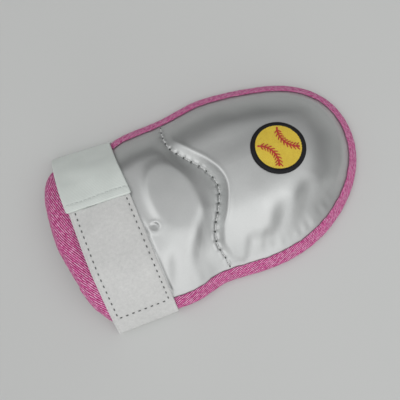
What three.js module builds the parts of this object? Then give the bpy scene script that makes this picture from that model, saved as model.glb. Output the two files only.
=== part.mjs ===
import * as THREE from 'three';

// Batter's elbow guard, lying on its open side with the strap fastened round it.
// Millimetres: +X runs to the elbow end, +Y to the far rim and +Z up from the surface it lies on.

// Long edges seen from above, at the middle of the bound roll
const RAILS = [
  { x: -150, near: -75.5, far: 62.0 },
  { x: -112, near: -75.4, far: 63.4 },
  { x: -90, near: -75.2, far: 64.6 },
  { x: -66, near: -75.9, far: 65.4 },
  { x: -57.5, near: -76.6, far: 68.1 },
  { x: -42, near: -76.4, far: 69.7 },
  { x: -18, near: -71.7, far: 71.7 },
  { x: 14, near: -74.0, far: 76.9 },
  { x: 40, near: -74.2, far: 76.8 },
  { x: 70, near: -72.2, far: 78.2 },
  { x: 140, near: -62.0, far: 90.0 },
];
// Rounded elbow end and open arm end: each a superellipse between the long edges, cut back in its near half
const NOSE = { start: 20, tip: 128.2, power: 2.1, cut: 0 };
const MOUTH = { start: -84, tip: -124.4, power: 4.4, cut: 13.5 };
// Sewn seam between the two pads, from the far edge to the near edge
const SEAM = { farX: -20, nearX: -10.5, gap: 0.5 };
const SEAM_BENDS = [
  { x: -23.8, y: 50 },
  { x: -22.6, y: 36 },
  { x: -14.4, y: 22.7 },
  { x: -6, y: 12 },
  { x: -0.5, y: 1 },
  { x: 0.5, y: -9 },
  { x: -5, y: -22 },
  { x: -12.5, y: -34 },
  { x: -15.8, y: -46 },
  { x: -13, y: -57 },
];
// Arched shell under the padding: height, steepness at the rim, extra steepness at the tip, crown, thickness
const SHELL = { rise: 20, power: 3.3, tipSteep: 0.36, crown: 3, half: 1.8, probe: 0.3, least: 1e-6 };
// Folded edge tape: half thickness outside and inside, flap width, flange end, start of the padding,
// and the wider flap at the arm end
const TAPE = {
  outer: 3.2, inner: 2.1, flap: 8.5, flangeEnd: 1.5, clear: 0.5, search: 0.2,
  mouthFlap: 14, mouthFrom: -98, mouthOver: 14,
};
// Padding of each pad: depth, and how far from the tape and from the seam it takes to swell
const HEM = { height: 3.5 };
const ELBOW = {
  depth: 14.5, wall: 0.55, wallReach: 7.5, wallEase: 0.3, easeFrom: 2, easeOver: 22,
  slow: 0.21, slowFrom: -14, slowOver: 52,
};
const ARM = { depth: 8, tapeReach: 34, mouthReach: 15, mouthFrom: -90, mouthOver: 25, seamReach: 16 };
const SWELL = { tapeReach: 34, toe: 7, sharp: 9, wallSharp: 7, overrun: 1.1 };
// Flat oval plate under the cloth of the arm pad, lower at its left, and the small dimple beside the strap
const PLATE = {
  x: -33.4, y: -6, halfX: 18.4, halfY: 31.6, turn: 8.4, power: 2.1,
  height: 3.4, lowHeight: 1.6, leanX: 0.4, leanY: 0.15, edge: 0.15,
};
const DIMPLE = { x: -54.4, y: -20.3, radius: 2.5, depth: 0.7 };
// Folds in the cloth of each pad, from head to foot towards the near tape; a ridge has a depth below 0
const ELBOW_FOLDS = [
  { headX: 15.5, headY: -43, footX: 8.5, footY: -62, width: 5.0, depth: 1.7 },
  { headX: 26.5, headY: -43.5, footX: 19.5, footY: -64, width: 5.0, depth: 1.5 },
  { headX: 48.5, headY: -29, footX: 27.5, footY: -66, width: 7.6, depth: 3.2 },
  { headX: 71, headY: -23, footX: 49.5, footY: -62.5, width: 8.4, depth: 3.6 },
  { headX: 92, headY: -29, footX: 76, footY: -50, width: 8.4, depth: 2.4 },
];
const ARM_FOLDS = [
  { headX: -40, headY: -25, footX: -50.5, footY: -62, width: 7.0, depth: 2.0 },
  { headX: -32, headY: -35, footX: -50, footY: -63, width: 5.0, depth: -0.7 },
  { headX: -16, headY: -22, footX: -26, footY: -50, width: 6.6, depth: 1.9 },
];
const FOLD_FADE = { head: 0.55, foot: 0.5, depth: 3, steep: 1, slow: 1.6 };
// Core of each pad, where its rings gather, and the steps of the rings from the edge to the core
const ELBOW_CORE = { x: 50, y: 2, halfX: 32, halfY: 30 };
const ARM_CORE = { x: -46, y: -9, halfX: 25, halfY: 34 };
const RING_STEPS = { tape: [0, 0.5, 1], swell: [0.1, 0.28, 0.5, 0.74, 1], core: [0.85, 0.58, 0.3] };
const LINING_STEPS = { tape: [0, 0.5, 1], swell: [0.22, 0.55, 1], core: [0.5] };
const CORE_MARGIN = 1.12;
// Stations along the edge of each pad and along the seam
const COUNT = {
  elbow: 64, arm: 52, seam: 21, roll: 4, innerRoll: 2, rails: 24, arc: 90, badge: 40, strap: 6,
};
// Strap of hook-and-loop tape round the arm end
const STRAP = { thick: 1.3, gap: 0.2, seat: 1.2, droop: 2, standFrom: 20, standOver: 45, toRim: 0.5 };
// Each band: width, where it starts and ends, tilt of its rows, line it turns round, and its middle line
const LOOP_BAND = {
  width: 47.8, farY: 40, underY: -50, step: 5, tilt: 0.06, tiltOver: 60,
  rim: { left: -76.0, right: -76.7 },
  middle: [
    { y: -76, x: -83.6 }, { y: -50, x: -84.2 }, { y: 11.5, x: -86.6 },
    { y: 18, x: -88.2 }, { y: 40, x: -89.6 },
  ],
};
const HOOK_TAB = {
  width: 50.6, endY: 10.1, underY: 48, step: 5, tilt: 0.06, rampY: 24, gap: 0.8,
  rim: { left: 68.0, right: 65.9 },
  middle: [{ y: 10.1, x: -86.6 }, { y: 63.6, x: -90.2 }],
};
const ELASTIC = { width: 47.8, lap: 10, middle: [{ y: -60, x: -83.9 }, { y: 58, x: -90.1 }] };
const ROLL_SHARES = [0.1, 0.3, 0.5, 0.7, 0.85, 1];
// Round embroidered badge on the elbow pad
const BADGE = { x: 53, y: 2.3, radiusX: 21, radiusY: 20, thick: 1.8, edge: 0.6, gap: 0.3 };
// Shift that sets the middle of the whole guard on the origin
const PLACE = { x: -1.8, y: 0.5 };

// Rim of the shell rises by one strap thickness where the strap passes under it
const LIFT = { height: STRAP.thick + STRAP.gap, from: -20, over: 30 };

const smooth = (t) => THREE.MathUtils.smoothstep(t, 0, 1);
const shoulder = (t) => 1 - (1 - THREE.MathUtils.clamp(t, 0, 1)) ** 2;
// Straight rise that rounds over into a level top at 1
const softRise = (t, sharp) => {
  const fall = Math.exp(-sharp);
  return -Math.log((Math.exp(-sharp * SWELL.overrun * t) + fall) / (1 + fall)) / sharp;
};
// Rise from the edge tape: level at first, then straight, then level again at 1
const riseFromTape = (inside) => softRise(inside ** 2 / (inside + SWELL.toe) / SWELL.tapeReach, SWELL.sharp);
const superellipse = (a, b, power) => (Math.abs(a) ** power + Math.abs(b) ** power) ** (1 / power);

// Place of one long edge at x: a cubic through the rows of RAILS
function railAt(x, side) {
  const last = RAILS.length - 1;
  const i = THREE.MathUtils.clamp(RAILS.findIndex((row) => row.x > x) - 1, 0, last - 1);
  const slopeAt = (k) => {
    const before = RAILS[Math.max(k - 1, 0)];
    const after = RAILS[Math.min(k + 1, last)];
    return (after[side] - before[side]) / (after.x - before.x);
  };
  const span = RAILS[i + 1].x - RAILS[i].x;
  const t = (x - RAILS[i].x) / span;
  const bend = (1 - t) * slopeAt(i) - t * slopeAt(i + 1);
  const chord = RAILS[i + 1][side] - RAILS[i][side];
  const straight = RAILS[i][side] + chord * t * t * (3 - 2 * t);
  return straight + span * t * (1 - t) * bend;
}

const middleAt = (x) => (railAt(x, 'far') + railAt(x, 'near')) / 2;
const halfWidthAt = (x) => (railAt(x, 'far') - railAt(x, 'near')) / 2;

// Mid surface of the shell: an arch between the long edges that closes over the elbow end
function shellHeight(x, y) {
  const across = (y - middleAt(x)) / halfWidthAt(x);
  const along = Math.max(x - NOSE.start, 0) / (NOSE.tip - NOSE.start);
  const reach = superellipse(across, along, NOSE.power);
  const tipShare = (along / Math.max(reach, SHELL.least)) ** NOSE.power;
  const power = SHELL.power * (1 + SHELL.tipSteep * tipShare);
  const base = TAPE.outer + LIFT.height * smooth((LIFT.from - x) / LIFT.over);
  const arch = SHELL.rise * (1 - reach ** power);
  const crown = SHELL.crown * (1 - Math.min(reach, 1) ** 2) ** 2;
  return base + arch + crown;
}

function shellNormal(x, y) {
  const h = SHELL.probe;
  const slopeX = (shellHeight(x + h, y) - shellHeight(x - h, y)) / (2 * h);
  const slopeY = (shellHeight(x, y + h) - shellHeight(x, y - h)) / (2 * h);
  return new THREE.Vector3(-slopeX, -slopeY, 1).normalize();
}

// Point at a given distance above the mid surface, measured square to it
function onShell(x, y, offset) {
  return new THREE.Vector3(x, y, shellHeight(x, y)).addScaledVector(shellNormal(x, y), offset);
}

function railRun(side, fromX, toX) {
  const xs = Array.from({ length: COUNT.rails }, (_, i) => fromX + ((toX - fromX) * i) / COUNT.rails);
  return xs.map((x) => new THREE.Vector2(x, railAt(x, side)));
}

// Superellipse arc between the long edges, from near to far with turn 1 and back with turn -1
function endArc(end, turn) {
  const points = [];
  for (let i = 0; i <= COUNT.arc; i += 1) {
    const angle = Math.PI * (i / COUNT.arc - 0.5) * turn;
    const out = Math.abs(Math.cos(angle)) ** (2 / end.power);
    const across = Math.sign(Math.sin(angle)) * Math.abs(Math.sin(angle)) ** (2 / end.power);
    const x = end.start + (end.tip - end.start) * out + end.cut * out * Math.max(-across, 0);
    points.push(new THREE.Vector2(x, middleAt(x) + across * halfWidthAt(x)));
  }
  return points;
}

// Edge line of each pad, as evenly spaced stations that run anticlockwise seen from above
const farEnd = new THREE.Vector2(SEAM.farX, railAt(SEAM.farX, 'far'));
const nearEnd = new THREE.Vector2(SEAM.nearX, railAt(SEAM.nearX, 'near'));
const elbowRun = [...railRun('near', SEAM.nearX, NOSE.start), ...endArc(NOSE, 1)];
elbowRun.push(...railRun('far', NOSE.start, SEAM.farX).slice(1), farEnd);
const armRun = [...railRun('far', SEAM.farX, MOUTH.start), ...endArc(MOUTH, -1)];
armRun.push(...railRun('near', MOUTH.start, SEAM.nearX).slice(1), nearEnd);
const elbowEdge = new THREE.SplineCurve(elbowRun).getSpacedPoints(COUNT.elbow);
const armEdge = new THREE.SplineCurve(armRun).getSpacedPoints(COUNT.arm);
const seamBends = SEAM_BENDS.map((bend) => new THREE.Vector2(bend.x, bend.y));
const seamLine = new THREE.SplineCurve([farEnd, ...seamBends, nearEnd]).getSpacedPoints(COUNT.seam);

// Each station of the whole edge knows its inward direction, its slope and the tape's width in plan
const edgeLoop = [...elbowEdge.slice(0, -1), ...armEdge.slice(0, -1)];
const stations = edgeLoop.map((point, i) => {
  const after = edgeLoop[(i + 1) % edgeLoop.length];
  const before = edgeLoop[(i + edgeLoop.length - 1) % edgeLoop.length];
  const along = after.clone().sub(before).normalize();
  const inward = new THREE.Vector2(-along.y, along.x);
  const rise = shellHeight(point.x + inward.x, point.y + inward.y) - shellHeight(point.x, point.y);
  const slope = Math.atan(rise);
  const atMouth = smooth((TAPE.mouthFrom - point.x) / TAPE.mouthOver);
  const flap = THREE.MathUtils.lerp(TAPE.flap, TAPE.mouthFlap, atMouth);
  return { point, inward, slope, inset: flap * Math.cos(slope) };
});

// Nearest place on a line of points: its distance, and where it lies as a fractional index
function nearest(line, x, y, closed) {
  let best = { distance: Infinity, index: 0 };
  const spans = closed ? line.length : line.length - 1;
  for (let i = 0; i < spans; i += 1) {
    const a = line[i];
    const b = line[(i + 1) % line.length];
    const dx = b.x - a.x;
    const dy = b.y - a.y;
    const t = THREE.MathUtils.clamp(((x - a.x) * dx + (y - a.y) * dy) / (dx * dx + dy * dy), 0, 1);
    const distance = Math.hypot(a.x + dx * t - x, a.y + dy * t - y);
    if (distance < best.distance) best = { distance, index: i + t };
  }
  return best;
}

// Distance in plan from the tape's inner edge, negative under the tape
function fromTape(x, y) {
  const { distance, index } = nearest(edgeLoop, x, y, true);
  const here = stations[Math.floor(index) % stations.length];
  const next = stations[(Math.floor(index) + 1) % stations.length];
  return distance - THREE.MathUtils.lerp(here.inset, next.inset, index % 1);
}

// Depth of the cloth folds at a point: each is a valley, steep at its left, that fades at its head and foot,
// and where the padding is thin
function foldDepth(folds, x, y, padding) {
  let depth = 0;
  for (const fold of folds) {
    const dx = fold.footX - fold.headX;
    const dy = fold.footY - fold.headY;
    const t = ((x - fold.headX) * dx + (y - fold.headY) * dy) / (dx * dx + dy * dy);
    const side = ((x - fold.headX) * dy - (y - fold.headY) * dx) / Math.hypot(dx, dy);
    const width = fold.width * (side > 0 ? FOLD_FADE.steep : FOLD_FADE.slow);
    const length = smooth(t / FOLD_FADE.head) * (1 - smooth((t - 1) / FOLD_FADE.foot));
    depth += fold.depth * length * Math.exp(-((side / width) ** 2));
  }
  return depth * (1 - Math.exp(-padding / FOLD_FADE.depth));
}

// Cloth of the elbow pad above the flange: it swells from the tape, and by a short wall from the seam
function elbowPadding(x, y) {
  const inside = Math.max(fromTape(x, y) - TAPE.clear, 0);
  const seam = nearest(seamLine, x, y, false).distance;
  const ease = 1 - ELBOW.wallEase * smooth((y - ELBOW.easeFrom) / ELBOW.easeOver);
  const wall = ELBOW.wall * softRise(seam / ELBOW.wallReach, SWELL.wallSharp) * ease;
  const slow = ELBOW.slow * smooth((x - ELBOW.slowFrom) / ELBOW.slowOver);
  const depth = (HEM.height + ELBOW.depth * (wall + slow)) * riseFromTape(inside);
  return Math.max(depth - foldDepth(ELBOW_FOLDS, x, y, depth), 0);
}

// Rise of the plate under the cloth of the arm pad: round at its top edge, with a slow foot
function plateRise(x, y) {
  const place = new THREE.Vector2(x - PLATE.x, y - PLATE.y);
  place.rotateAround(new THREE.Vector2(), THREE.MathUtils.degToRad(-PLATE.turn));
  const out = superellipse(place.x / PLATE.halfX, place.y / PLATE.halfY, PLATE.power);
  const lean = (PLATE.leanX * place.x) / PLATE.halfX + (PLATE.leanY * place.y) / PLATE.halfY;
  const height = THREE.MathUtils.lerp(PLATE.lowHeight, PLATE.height, smooth(0.5 + lean));
  return height * (1 - Math.exp(-Math.exp((1 - out) / PLATE.edge)));
}

// Cloth of the arm pad above the flange: a lower swell, with plate, dimple and folds
function armPadding(x, y) {
  const inside = Math.max(fromTape(x, y) - TAPE.clear, 0);
  const seam = nearest(seamLine, x, y, false).distance;
  const mouth = smooth((ARM.mouthFrom - x) / ARM.mouthOver);
  const reach = THREE.MathUtils.lerp(ARM.tapeReach, ARM.mouthReach, mouth);
  const hem = HEM.height * riseFromTape(inside);
  const full = ARM.depth * smooth(inside / reach);
  let depth = THREE.MathUtils.lerp(hem, full, shoulder(seam / ARM.seamReach)) + plateRise(x, y);
  depth -= DIMPLE.depth * Math.exp(-((Math.hypot(x - DIMPLE.x, y - DIMPLE.y) / DIMPLE.radius) ** 2));
  return Math.max(depth - foldDepth(ARM_FOLDS, x, y, depth), 0);
}

// Closed solid through rings of equal count: capped at two points, or joined end to end
function loft(rings, caps) {
  const around = rings[0].length;
  const points = rings.flat();
  const index = [];
  const bands = caps ? rings.length - 1 : rings.length;
  for (let r = 0; r < bands; r += 1) {
    const here = r * around;
    const next = ((r + 1) % rings.length) * around;
    for (let i = 0; i < around; i += 1) {
      const j = (i + 1) % around;
      index.push(here + i, next + i, next + j, here + i, next + j, here + j);
    }
  }
  if (caps) {
    const first = points.push(caps[0]) - 1;
    const last = points.push(caps[1]) - 1;
    const tail = (rings.length - 1) * around;
    for (let i = 0; i < around; i += 1) {
      const j = (i + 1) % around;
      index.push(first, i, j);
      index.push(last, tail + j, tail + i);
    }
  }
  const geometry = new THREE.BufferGeometry().setFromPoints(points);
  geometry.setIndex(volumeOf(points, index) < 0 ? index.reverse() : index);
  geometry.computeVertexNormals();
  return geometry;
}

function volumeOf(points, index) {
  let volume = 0;
  const cross = new THREE.Vector3();
  for (let i = 0; i < index.length; i += 3) {
    cross.crossVectors(points[index[i + 1]], points[index[i + 2]]);
    volume += points[index[i]].dot(cross) / 6;
  }
  return volume;
}

// Padded panel between its part of the edge and the seam: rings of cloth above, rings of lining below
function padGeometry(padding, core, edge, seam, seamShift) {
  const firstStation = edge === elbowEdge ? 0 : COUNT.elbow;
  const border = edge.map((point, i) => {
    const { inward, slope } = stations[(firstStation + i) % stations.length];
    return point.clone().addScaledVector(inward, TAPE.flangeEnd * Math.cos(slope));
  });
  border[0].x += seamShift;
  border[border.length - 1].x += seamShift;
  for (const point of seam.slice(1, -1)) {
    border.push(new THREE.Vector2(point.x + seamShift, point.y));
  }
  const rays = border.map((point) => {
    const toCore = new THREE.Vector2(core.x - point.x, core.y - point.y);
    const length = toCore.length();
    toCore.normalize();
    const rim = 1 / Math.hypot(toCore.x / core.halfX, toCore.y / core.halfY);
    let tape = 1;
    while (fromTape(point.x + toCore.x * tape, point.y + toCore.y * tape) < TAPE.clear) {
      tape += TAPE.search;
    }
    return { point, toCore, length, rim, tape };
  });
  const ringAt = (distanceOn, offsetAt) =>
    rays.map((ray) => {
      const { x, y } = ray.point.clone().addScaledVector(ray.toCore, distanceOn(ray));
      return onShell(x, y, offsetAt(x, y));
    });
  const ringsOf = (steps, offsetAt) => {
    const innerEnd = (ray) => ray.length - ray.rim * CORE_MARGIN;
    const tapeRings = steps.tape.map((s) => ringAt((ray) => ray.tape * s, offsetAt));
    const swellRings = steps.swell.map((s) =>
      ringAt((ray) => THREE.MathUtils.lerp(ray.tape, innerEnd(ray), s), offsetAt));
    const coreRings = steps.core.map((s) => ringAt((ray) => ray.length - ray.rim * s, offsetAt));
    return [...tapeRings, ...swellRings, ...coreRings];
  };
  const clothAt = (x, y) => SHELL.half + padding(x, y);
  const liningAt = () => -SHELL.half;
  const cloth = ringsOf(RING_STEPS, clothAt).reverse();
  const lining = ringsOf(LINING_STEPS, liningAt);
  const top = onShell(core.x, core.y, clothAt(core.x, core.y));
  const bottom = onShell(core.x, core.y, -SHELL.half);
  return loft([...cloth, ...lining], [top, bottom]);
}

// Folded tape round the whole edge: a U section whose flaps follow the shell above and below
function bindingGeometry() {
  const sections = stations.map(({ point, inward, slope, inset }) => {
    const normal = shellNormal(point.x, point.y);
    const middle = onShell(point.x, point.y, 0);
    const drop = -Math.sin(slope);
    const out = new THREE.Vector3(-inward.x * Math.cos(slope), -inward.y * Math.cos(slope), drop);
    const flapAt = (share, offset) =>
      onShell(point.x + inward.x * inset * share, point.y + inward.y * inset * share, offset);
    const rollAt = (radius, step, steps) => {
      const angle = (Math.PI * step) / steps;
      const up = Math.cos(angle) * radius;
      return middle.clone().addScaledVector(normal, up).addScaledVector(out, Math.sin(angle) * radius);
    };
    const outerRoll = Array.from({ length: COUNT.roll + 1 }, (_, i) => rollAt(TAPE.outer, i, COUNT.roll));
    const innerRoll = Array.from({ length: COUNT.innerRoll + 1 }, (_, i) =>
      rollAt(TAPE.inner, COUNT.innerRoll - i, COUNT.innerRoll));
    const outside = [flapAt(1, TAPE.outer), flapAt(0.5, TAPE.outer), ...outerRoll];
    outside.push(flapAt(0.5, -TAPE.outer), flapAt(1, -TAPE.outer));
    const inside = [flapAt(1, -TAPE.inner), flapAt(0.5, -TAPE.inner), ...innerRoll];
    inside.push(flapAt(0.5, TAPE.inner), flapAt(1, TAPE.inner));
    return [...outside, ...inside];
  });
  return loft(sections, null);
}

// Top of what lies under the strap: the cloth of the arm pad, and no lower than the edge tape
function underStrap(x, y) {
  return Math.max(SHELL.half + armPadding(x, y), TAPE.outer);
}

// Middle of a band at y, along straight pieces between the points of its middle line
function middleOf(band, y) {
  const line = band.middle;
  const at = THREE.MathUtils.clamp(y, line[0].y, line[line.length - 1].y);
  const i = Math.max(line.findIndex((point) => point.y >= at), 1);
  return THREE.MathUtils.mapLinear(at, line[i - 1].y, line[i].y, line[i - 1].x, line[i].x);
}

// Places across a band as shares of its width, the line it turns round at the rim, and that line's tilt
const strapSteps = Array.from({ length: COUNT.strap + 1 }, (_, i) => i / COUNT.strap - 0.5);
const rimAt = (band, step) => THREE.MathUtils.lerp(band.rim.left, band.rim.right, step + 0.5);
const rimTilt = (band) => (band.rim.left - band.rim.right) / band.width;

// One row across a band, seated on the pad: it bends a little with the pad but stays nearly flat
function seatedRow(band, y, lift, tilt) {
  const outward = Math.sign(band.rim.left);
  const places = strapSteps.map((step) => {
    const x = middleOf(band, y) + step * band.width;
    const here = y - step * band.width * tilt;
    const share = smooth((outward * here - STRAP.standFrom) / STRAP.standOver);
    const stands = (rimAt(band, step) - railAt(x, outward < 0 ? 'near' : 'far')) * share;
    return { x, y: here - stands, stands };
  });
  const seats = places.map((place) => underStrap(place.x, place.y) + STRAP.seat);
  const floor = Math.max(...seats) - STRAP.droop;
  return places.map((place, i) => {
    const bottom = Math.max(seats[i], floor) + lift;
    const out = new THREE.Vector3(0, place.stands, 0);
    return {
      bottom: onShell(place.x, place.y, bottom).add(out),
      top: onShell(place.x, place.y, bottom + STRAP.thick).add(out),
    };
  });
}

// Row that turns round the rim: the band leaves the tape's outer face and comes in flat below it
function rolledRow(band, share) {
  const radius = TAPE.outer + STRAP.gap;
  const outward = Math.sign(band.rim.left);
  const x = middleOf(band, rimAt(band, 0));
  const normal = shellNormal(x, railAt(x, outward < 0 ? 'near' : 'far'));
  const angle = THREE.MathUtils.lerp(Math.atan2(outward * normal.y, normal.z), Math.PI, share);
  const z = TAPE.outer + LIFT.height;
  return strapSteps.map((step) => {
    const reach = (r) => {
      const y = rimAt(band, step) + outward * Math.sin(angle) * r;
      return new THREE.Vector3(x + step * band.width, y, z + Math.cos(angle) * r);
    };
    return { bottom: reach(radius), top: reach(radius + STRAP.thick) };
  });
}

// Row of the run below the rim, lying flat at a given height
function flatRow(band, y, base) {
  return strapSteps.map((step) => {
    const x = middleOf(band, y) + step * band.width;
    return { bottom: new THREE.Vector3(x, y, base + STRAP.thick), top: new THREE.Vector3(x, y, base) };
  });
}

function bandGeometry(rows) {
  const rings = rows.map((row) => [
    ...row.map((place) => place.top),
    ...row.map((place) => place.bottom).reverse(),
  ]);
  const centreOf = (ring) =>
    ring.reduce((sum, point) => sum.add(point), new THREE.Vector3()).divideScalar(ring.length);
  return loft(rings, [centreOf(rings[0]), centreOf(rings[rings.length - 1])]);
}

const stepsBetween = (from, to, step) => {
  const count = Math.ceil(Math.abs(to - from) / step);
  return Array.from({ length: count + 1 }, (_, i) => from + ((to - from) * i) / count);
};

// Loop band: sewn along the front, then over the near rim and in below it
function loopBandGeometry() {
  const rimY = rimAt(LOOP_BAND, 0);
  const along = (y) => smooth((y - rimY) / LOOP_BAND.tiltOver);
  const tiltAt = (y) => THREE.MathUtils.lerp(rimTilt(LOOP_BAND), LOOP_BAND.tilt, along(y));
  const ys = stepsBetween(LOOP_BAND.farY, rimY + STRAP.toRim, LOOP_BAND.step);
  const rows = ys.map((y) => seatedRow(LOOP_BAND, y, 0, tiltAt(y)));
  rows.push(...ROLL_SHARES.map((share) => rolledRow(LOOP_BAND, share)));
  rows.push(flatRow(LOOP_BAND, LOOP_BAND.underY, 0));
  return bandGeometry(rows);
}

// Hook tab: up from below the far rim, over the edge and on to the loop band, which it grips
function hookTabGeometry() {
  const rimY = rimAt(HOOK_TAB, 0);
  const grip = STRAP.thick + HOOK_TAB.gap;
  const liftAt = (y) => grip * smooth((LOOP_BAND.farY + HOOK_TAB.rampY - y) / HOOK_TAB.rampY);
  const along = (y) => smooth((rimY - y) / (rimY - HOOK_TAB.endY));
  const tiltAt = (y) => THREE.MathUtils.lerp(rimTilt(HOOK_TAB), HOOK_TAB.tilt, along(y));
  const rows = [flatRow(HOOK_TAB, HOOK_TAB.underY, 0)];
  rows.push(...ROLL_SHARES.map((share) => rolledRow(HOOK_TAB, share)).reverse());
  const ys = stepsBetween(rimY - STRAP.toRim, HOOK_TAB.endY, HOOK_TAB.step);
  rows.push(...ys.map((y) => seatedRow(HOOK_TAB, y, liftAt(y), tiltAt(y))));
  return bandGeometry(rows);
}

// Elastic run across the open side, lapped over the ends of the loop band and the hook tab
function elasticGeometry() {
  const base = STRAP.thick + STRAP.gap;
  const ends = [LOOP_BAND.underY - ELASTIC.lap, HOOK_TAB.underY + ELASTIC.lap];
  return bandGeometry(ends.map((y) => flatRow(ELASTIC, y, base)));
}

// Round badge, bowed with the cloth under it and rounded at its rim
function badgeGeometry() {
  const ringAt = (share, offset) =>
    Array.from({ length: COUNT.badge }, (_, i) => {
      const angle = (2 * Math.PI * i) / COUNT.badge;
      const x = BADGE.x + BADGE.radiusX * share * Math.cos(angle);
      const y = BADGE.y + BADGE.radiusY * share * Math.sin(angle);
      return onShell(x, y, SHELL.half + elbowPadding(x, y) + BADGE.gap + offset);
    });
  const rim = 1 - BADGE.edge / BADGE.radiusX;
  const rings = [ringAt(0.5, BADGE.thick), ringAt(rim, BADGE.thick), ringAt(1, BADGE.thick - BADGE.edge)];
  rings.push(ringAt(1, 0), ringAt(0.5, 0));
  const cloth = SHELL.half + elbowPadding(BADGE.x, BADGE.y) + BADGE.gap;
  const caps = [cloth + BADGE.thick, cloth].map((offset) => onShell(BADGE.x, BADGE.y, offset));
  return loft(rings, caps);
}

const finish = (color, roughness, metalness) =>
  new THREE.MeshStandardMaterial({ color, roughness, metalness });
const group = new THREE.Group();
group.position.set(PLACE.x, PLACE.y, 0);
function addPart(name, geometry, material) {
  const mesh = new THREE.Mesh(geometry, material);
  mesh.name = name;
  group.add(mesh);
}

const seamBack = [...seamLine].reverse();
const elbowGeometry = padGeometry(elbowPadding, ELBOW_CORE, elbowEdge, seamLine, SEAM.gap / 2);
const armGeometry = padGeometry(armPadding, ARM_CORE, armEdge, seamBack, -SEAM.gap / 2);
addPart('elbow_pad', elbowGeometry, finish(0xb4bab6, 0.4, 0.25));
addPart('arm_pad', armGeometry, finish(0xb4bab6, 0.4, 0.25));
addPart('edge_binding', bindingGeometry(), finish(0xc8528e, 0.8, 0));
addPart('loop_band', loopBandGeometry(), finish(0xd2d3d0, 0.9, 0));
addPart('hook_tab', hookTabGeometry(), finish(0xc6d2ca, 0.7, 0));
addPart('elastic_strap', elasticGeometry(), finish(0xd6d6d2, 0.85, 0));
addPart('emblem_badge', badgeGeometry(), finish(0xd9b52a, 0.6, 0));

export default group;
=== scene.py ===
import bpy
import numpy as np
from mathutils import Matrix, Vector


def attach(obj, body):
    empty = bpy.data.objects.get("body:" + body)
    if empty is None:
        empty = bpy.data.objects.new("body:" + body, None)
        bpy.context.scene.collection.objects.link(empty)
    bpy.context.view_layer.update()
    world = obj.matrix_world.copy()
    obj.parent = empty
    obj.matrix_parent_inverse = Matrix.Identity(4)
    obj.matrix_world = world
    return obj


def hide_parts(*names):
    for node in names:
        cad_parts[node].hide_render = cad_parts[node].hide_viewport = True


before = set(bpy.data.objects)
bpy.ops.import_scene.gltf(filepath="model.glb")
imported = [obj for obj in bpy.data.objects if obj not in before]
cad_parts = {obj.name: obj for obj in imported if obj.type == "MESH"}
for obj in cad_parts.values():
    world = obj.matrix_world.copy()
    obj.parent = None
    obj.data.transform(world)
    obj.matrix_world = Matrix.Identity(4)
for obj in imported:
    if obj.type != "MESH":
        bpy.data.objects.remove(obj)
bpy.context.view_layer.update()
mm = 0.001  # shapes are worked out in millimetres and put into the meshes in metres
print("frame loaded:", len(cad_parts), "nodes")

# Camera at the photo's angle, lights and floor

photoView = {
    "target": (-14.0, -3.4, 0.0), "azimuth": -21.5, "elevation": 74.0,
    "distance": 358.0, "lens": 38.7, "clip": 10.0,
}
studio = {
    "floor": 1.6, "floorCells": 8, "floorDrop": 0.2, "floorColour": (0.66, 0.67, 0.66),
    # brightness of the sky from the horizon up, and from the near side over to the far side
    "skyUp": [(0.0, 0.30), (0.2, 0.40), (0.4, 0.64), (0.62, 0.96), (1.0, 1.0)],
    "skyOver": [
        (0.0, 1.06), (0.3, 1.06), (0.5, 0.94), (0.65, 0.83),
        (0.75, 0.72), (0.83, 0.52), (0.9, 0.31), (1.0, 0.19),
    ],
    "skyAxis": (0.14, 0.99, 0.0),
    # dimmer patches overhead, on the right and low left: direction, and brightness towards the middle
    "shades": [
        ((0.10, 0.28, 0.95), [(0.90, 1.0), (0.95, 0.80), (0.98, 0.57), (1.0, 0.46)]),
        ((0.86, -0.16, 0.48), [(0.63, 1.0), (0.74, 0.76), (0.85, 0.44), (1.0, 0.23)]),
        ((-0.99, -0.05, 0.10), [(0.72, 1.0), (0.84, 0.60), (1.0, 0.25)]),
    ],
    # broad windows on the near side and on the left: direction, and the light added towards its middle
    "windows": [
        ((0.0, -1.0, 0.0), [(0.70, 0.0), (0.80, 0.18), (0.90, 0.46), (0.97, 0.66), (1.0, 0.72)]),
        ((-0.76, 0.05, 0.65), [(0.85, 0.0), (0.90, 0.22), (0.95, 0.50), (1.0, 0.66)]),
    ],
    # name, place in mm, size in mm, watts
    "lamps": [("keySoftbox", (480, -420, 760), 900, 1.2)],
}


def addAimed(name, data, place, turn):
    thing = bpy.data.objects.new(name, data)
    thing.location = place * mm
    thing.rotation_mode = "QUATERNION"
    thing.rotation_quaternion = turn
    bpy.context.scene.collection.objects.link(thing)
    return thing


def addCamera(view):
    a, e = np.radians(view["azimuth"]), np.radians(view["elevation"])
    back = Vector((np.sin(a) * np.cos(e), -np.cos(a) * np.cos(e), np.sin(e)))
    place = Vector(view["target"]) + back * view["distance"]
    cam = addAimed("camera", bpy.data.cameras.new("camera"), place, (-back).to_track_quat("-Z", "Y"))
    cam.data.lens = view["lens"]
    cam.data.clip_start = view["clip"] * mm
    bpy.context.scene.camera = cam


def addLamp(name, place, size, watts):
    place = Vector(place)
    lamp = addAimed(name, bpy.data.lights.new(name, "AREA"), place, place.to_track_quat("Z", "Y"))
    lamp.data.shape = "DISK"
    lamp.data.size = size * mm
    lamp.data.energy = watts


addCamera(photoView)
for lampRow in studio["lamps"]:
    addLamp(*lampRow)
bpy.context.scene.view_settings.view_transform = "Standard"
print("camera and lamp set")

# Materials: small node helpers first, then one function for each finish


def newFinish(name, roughness, **sockets):
    finish = bpy.data.materials.new(name)
    finish.use_nodes = True
    tree = finish.node_tree
    shader = tree.nodes["Principled BSDF"]
    shader.inputs["Roughness"].default_value = roughness
    for socket, value in sockets.items():
        shader.inputs[socket.replace("_", " ")].default_value = value
    return finish, tree, shader


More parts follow.
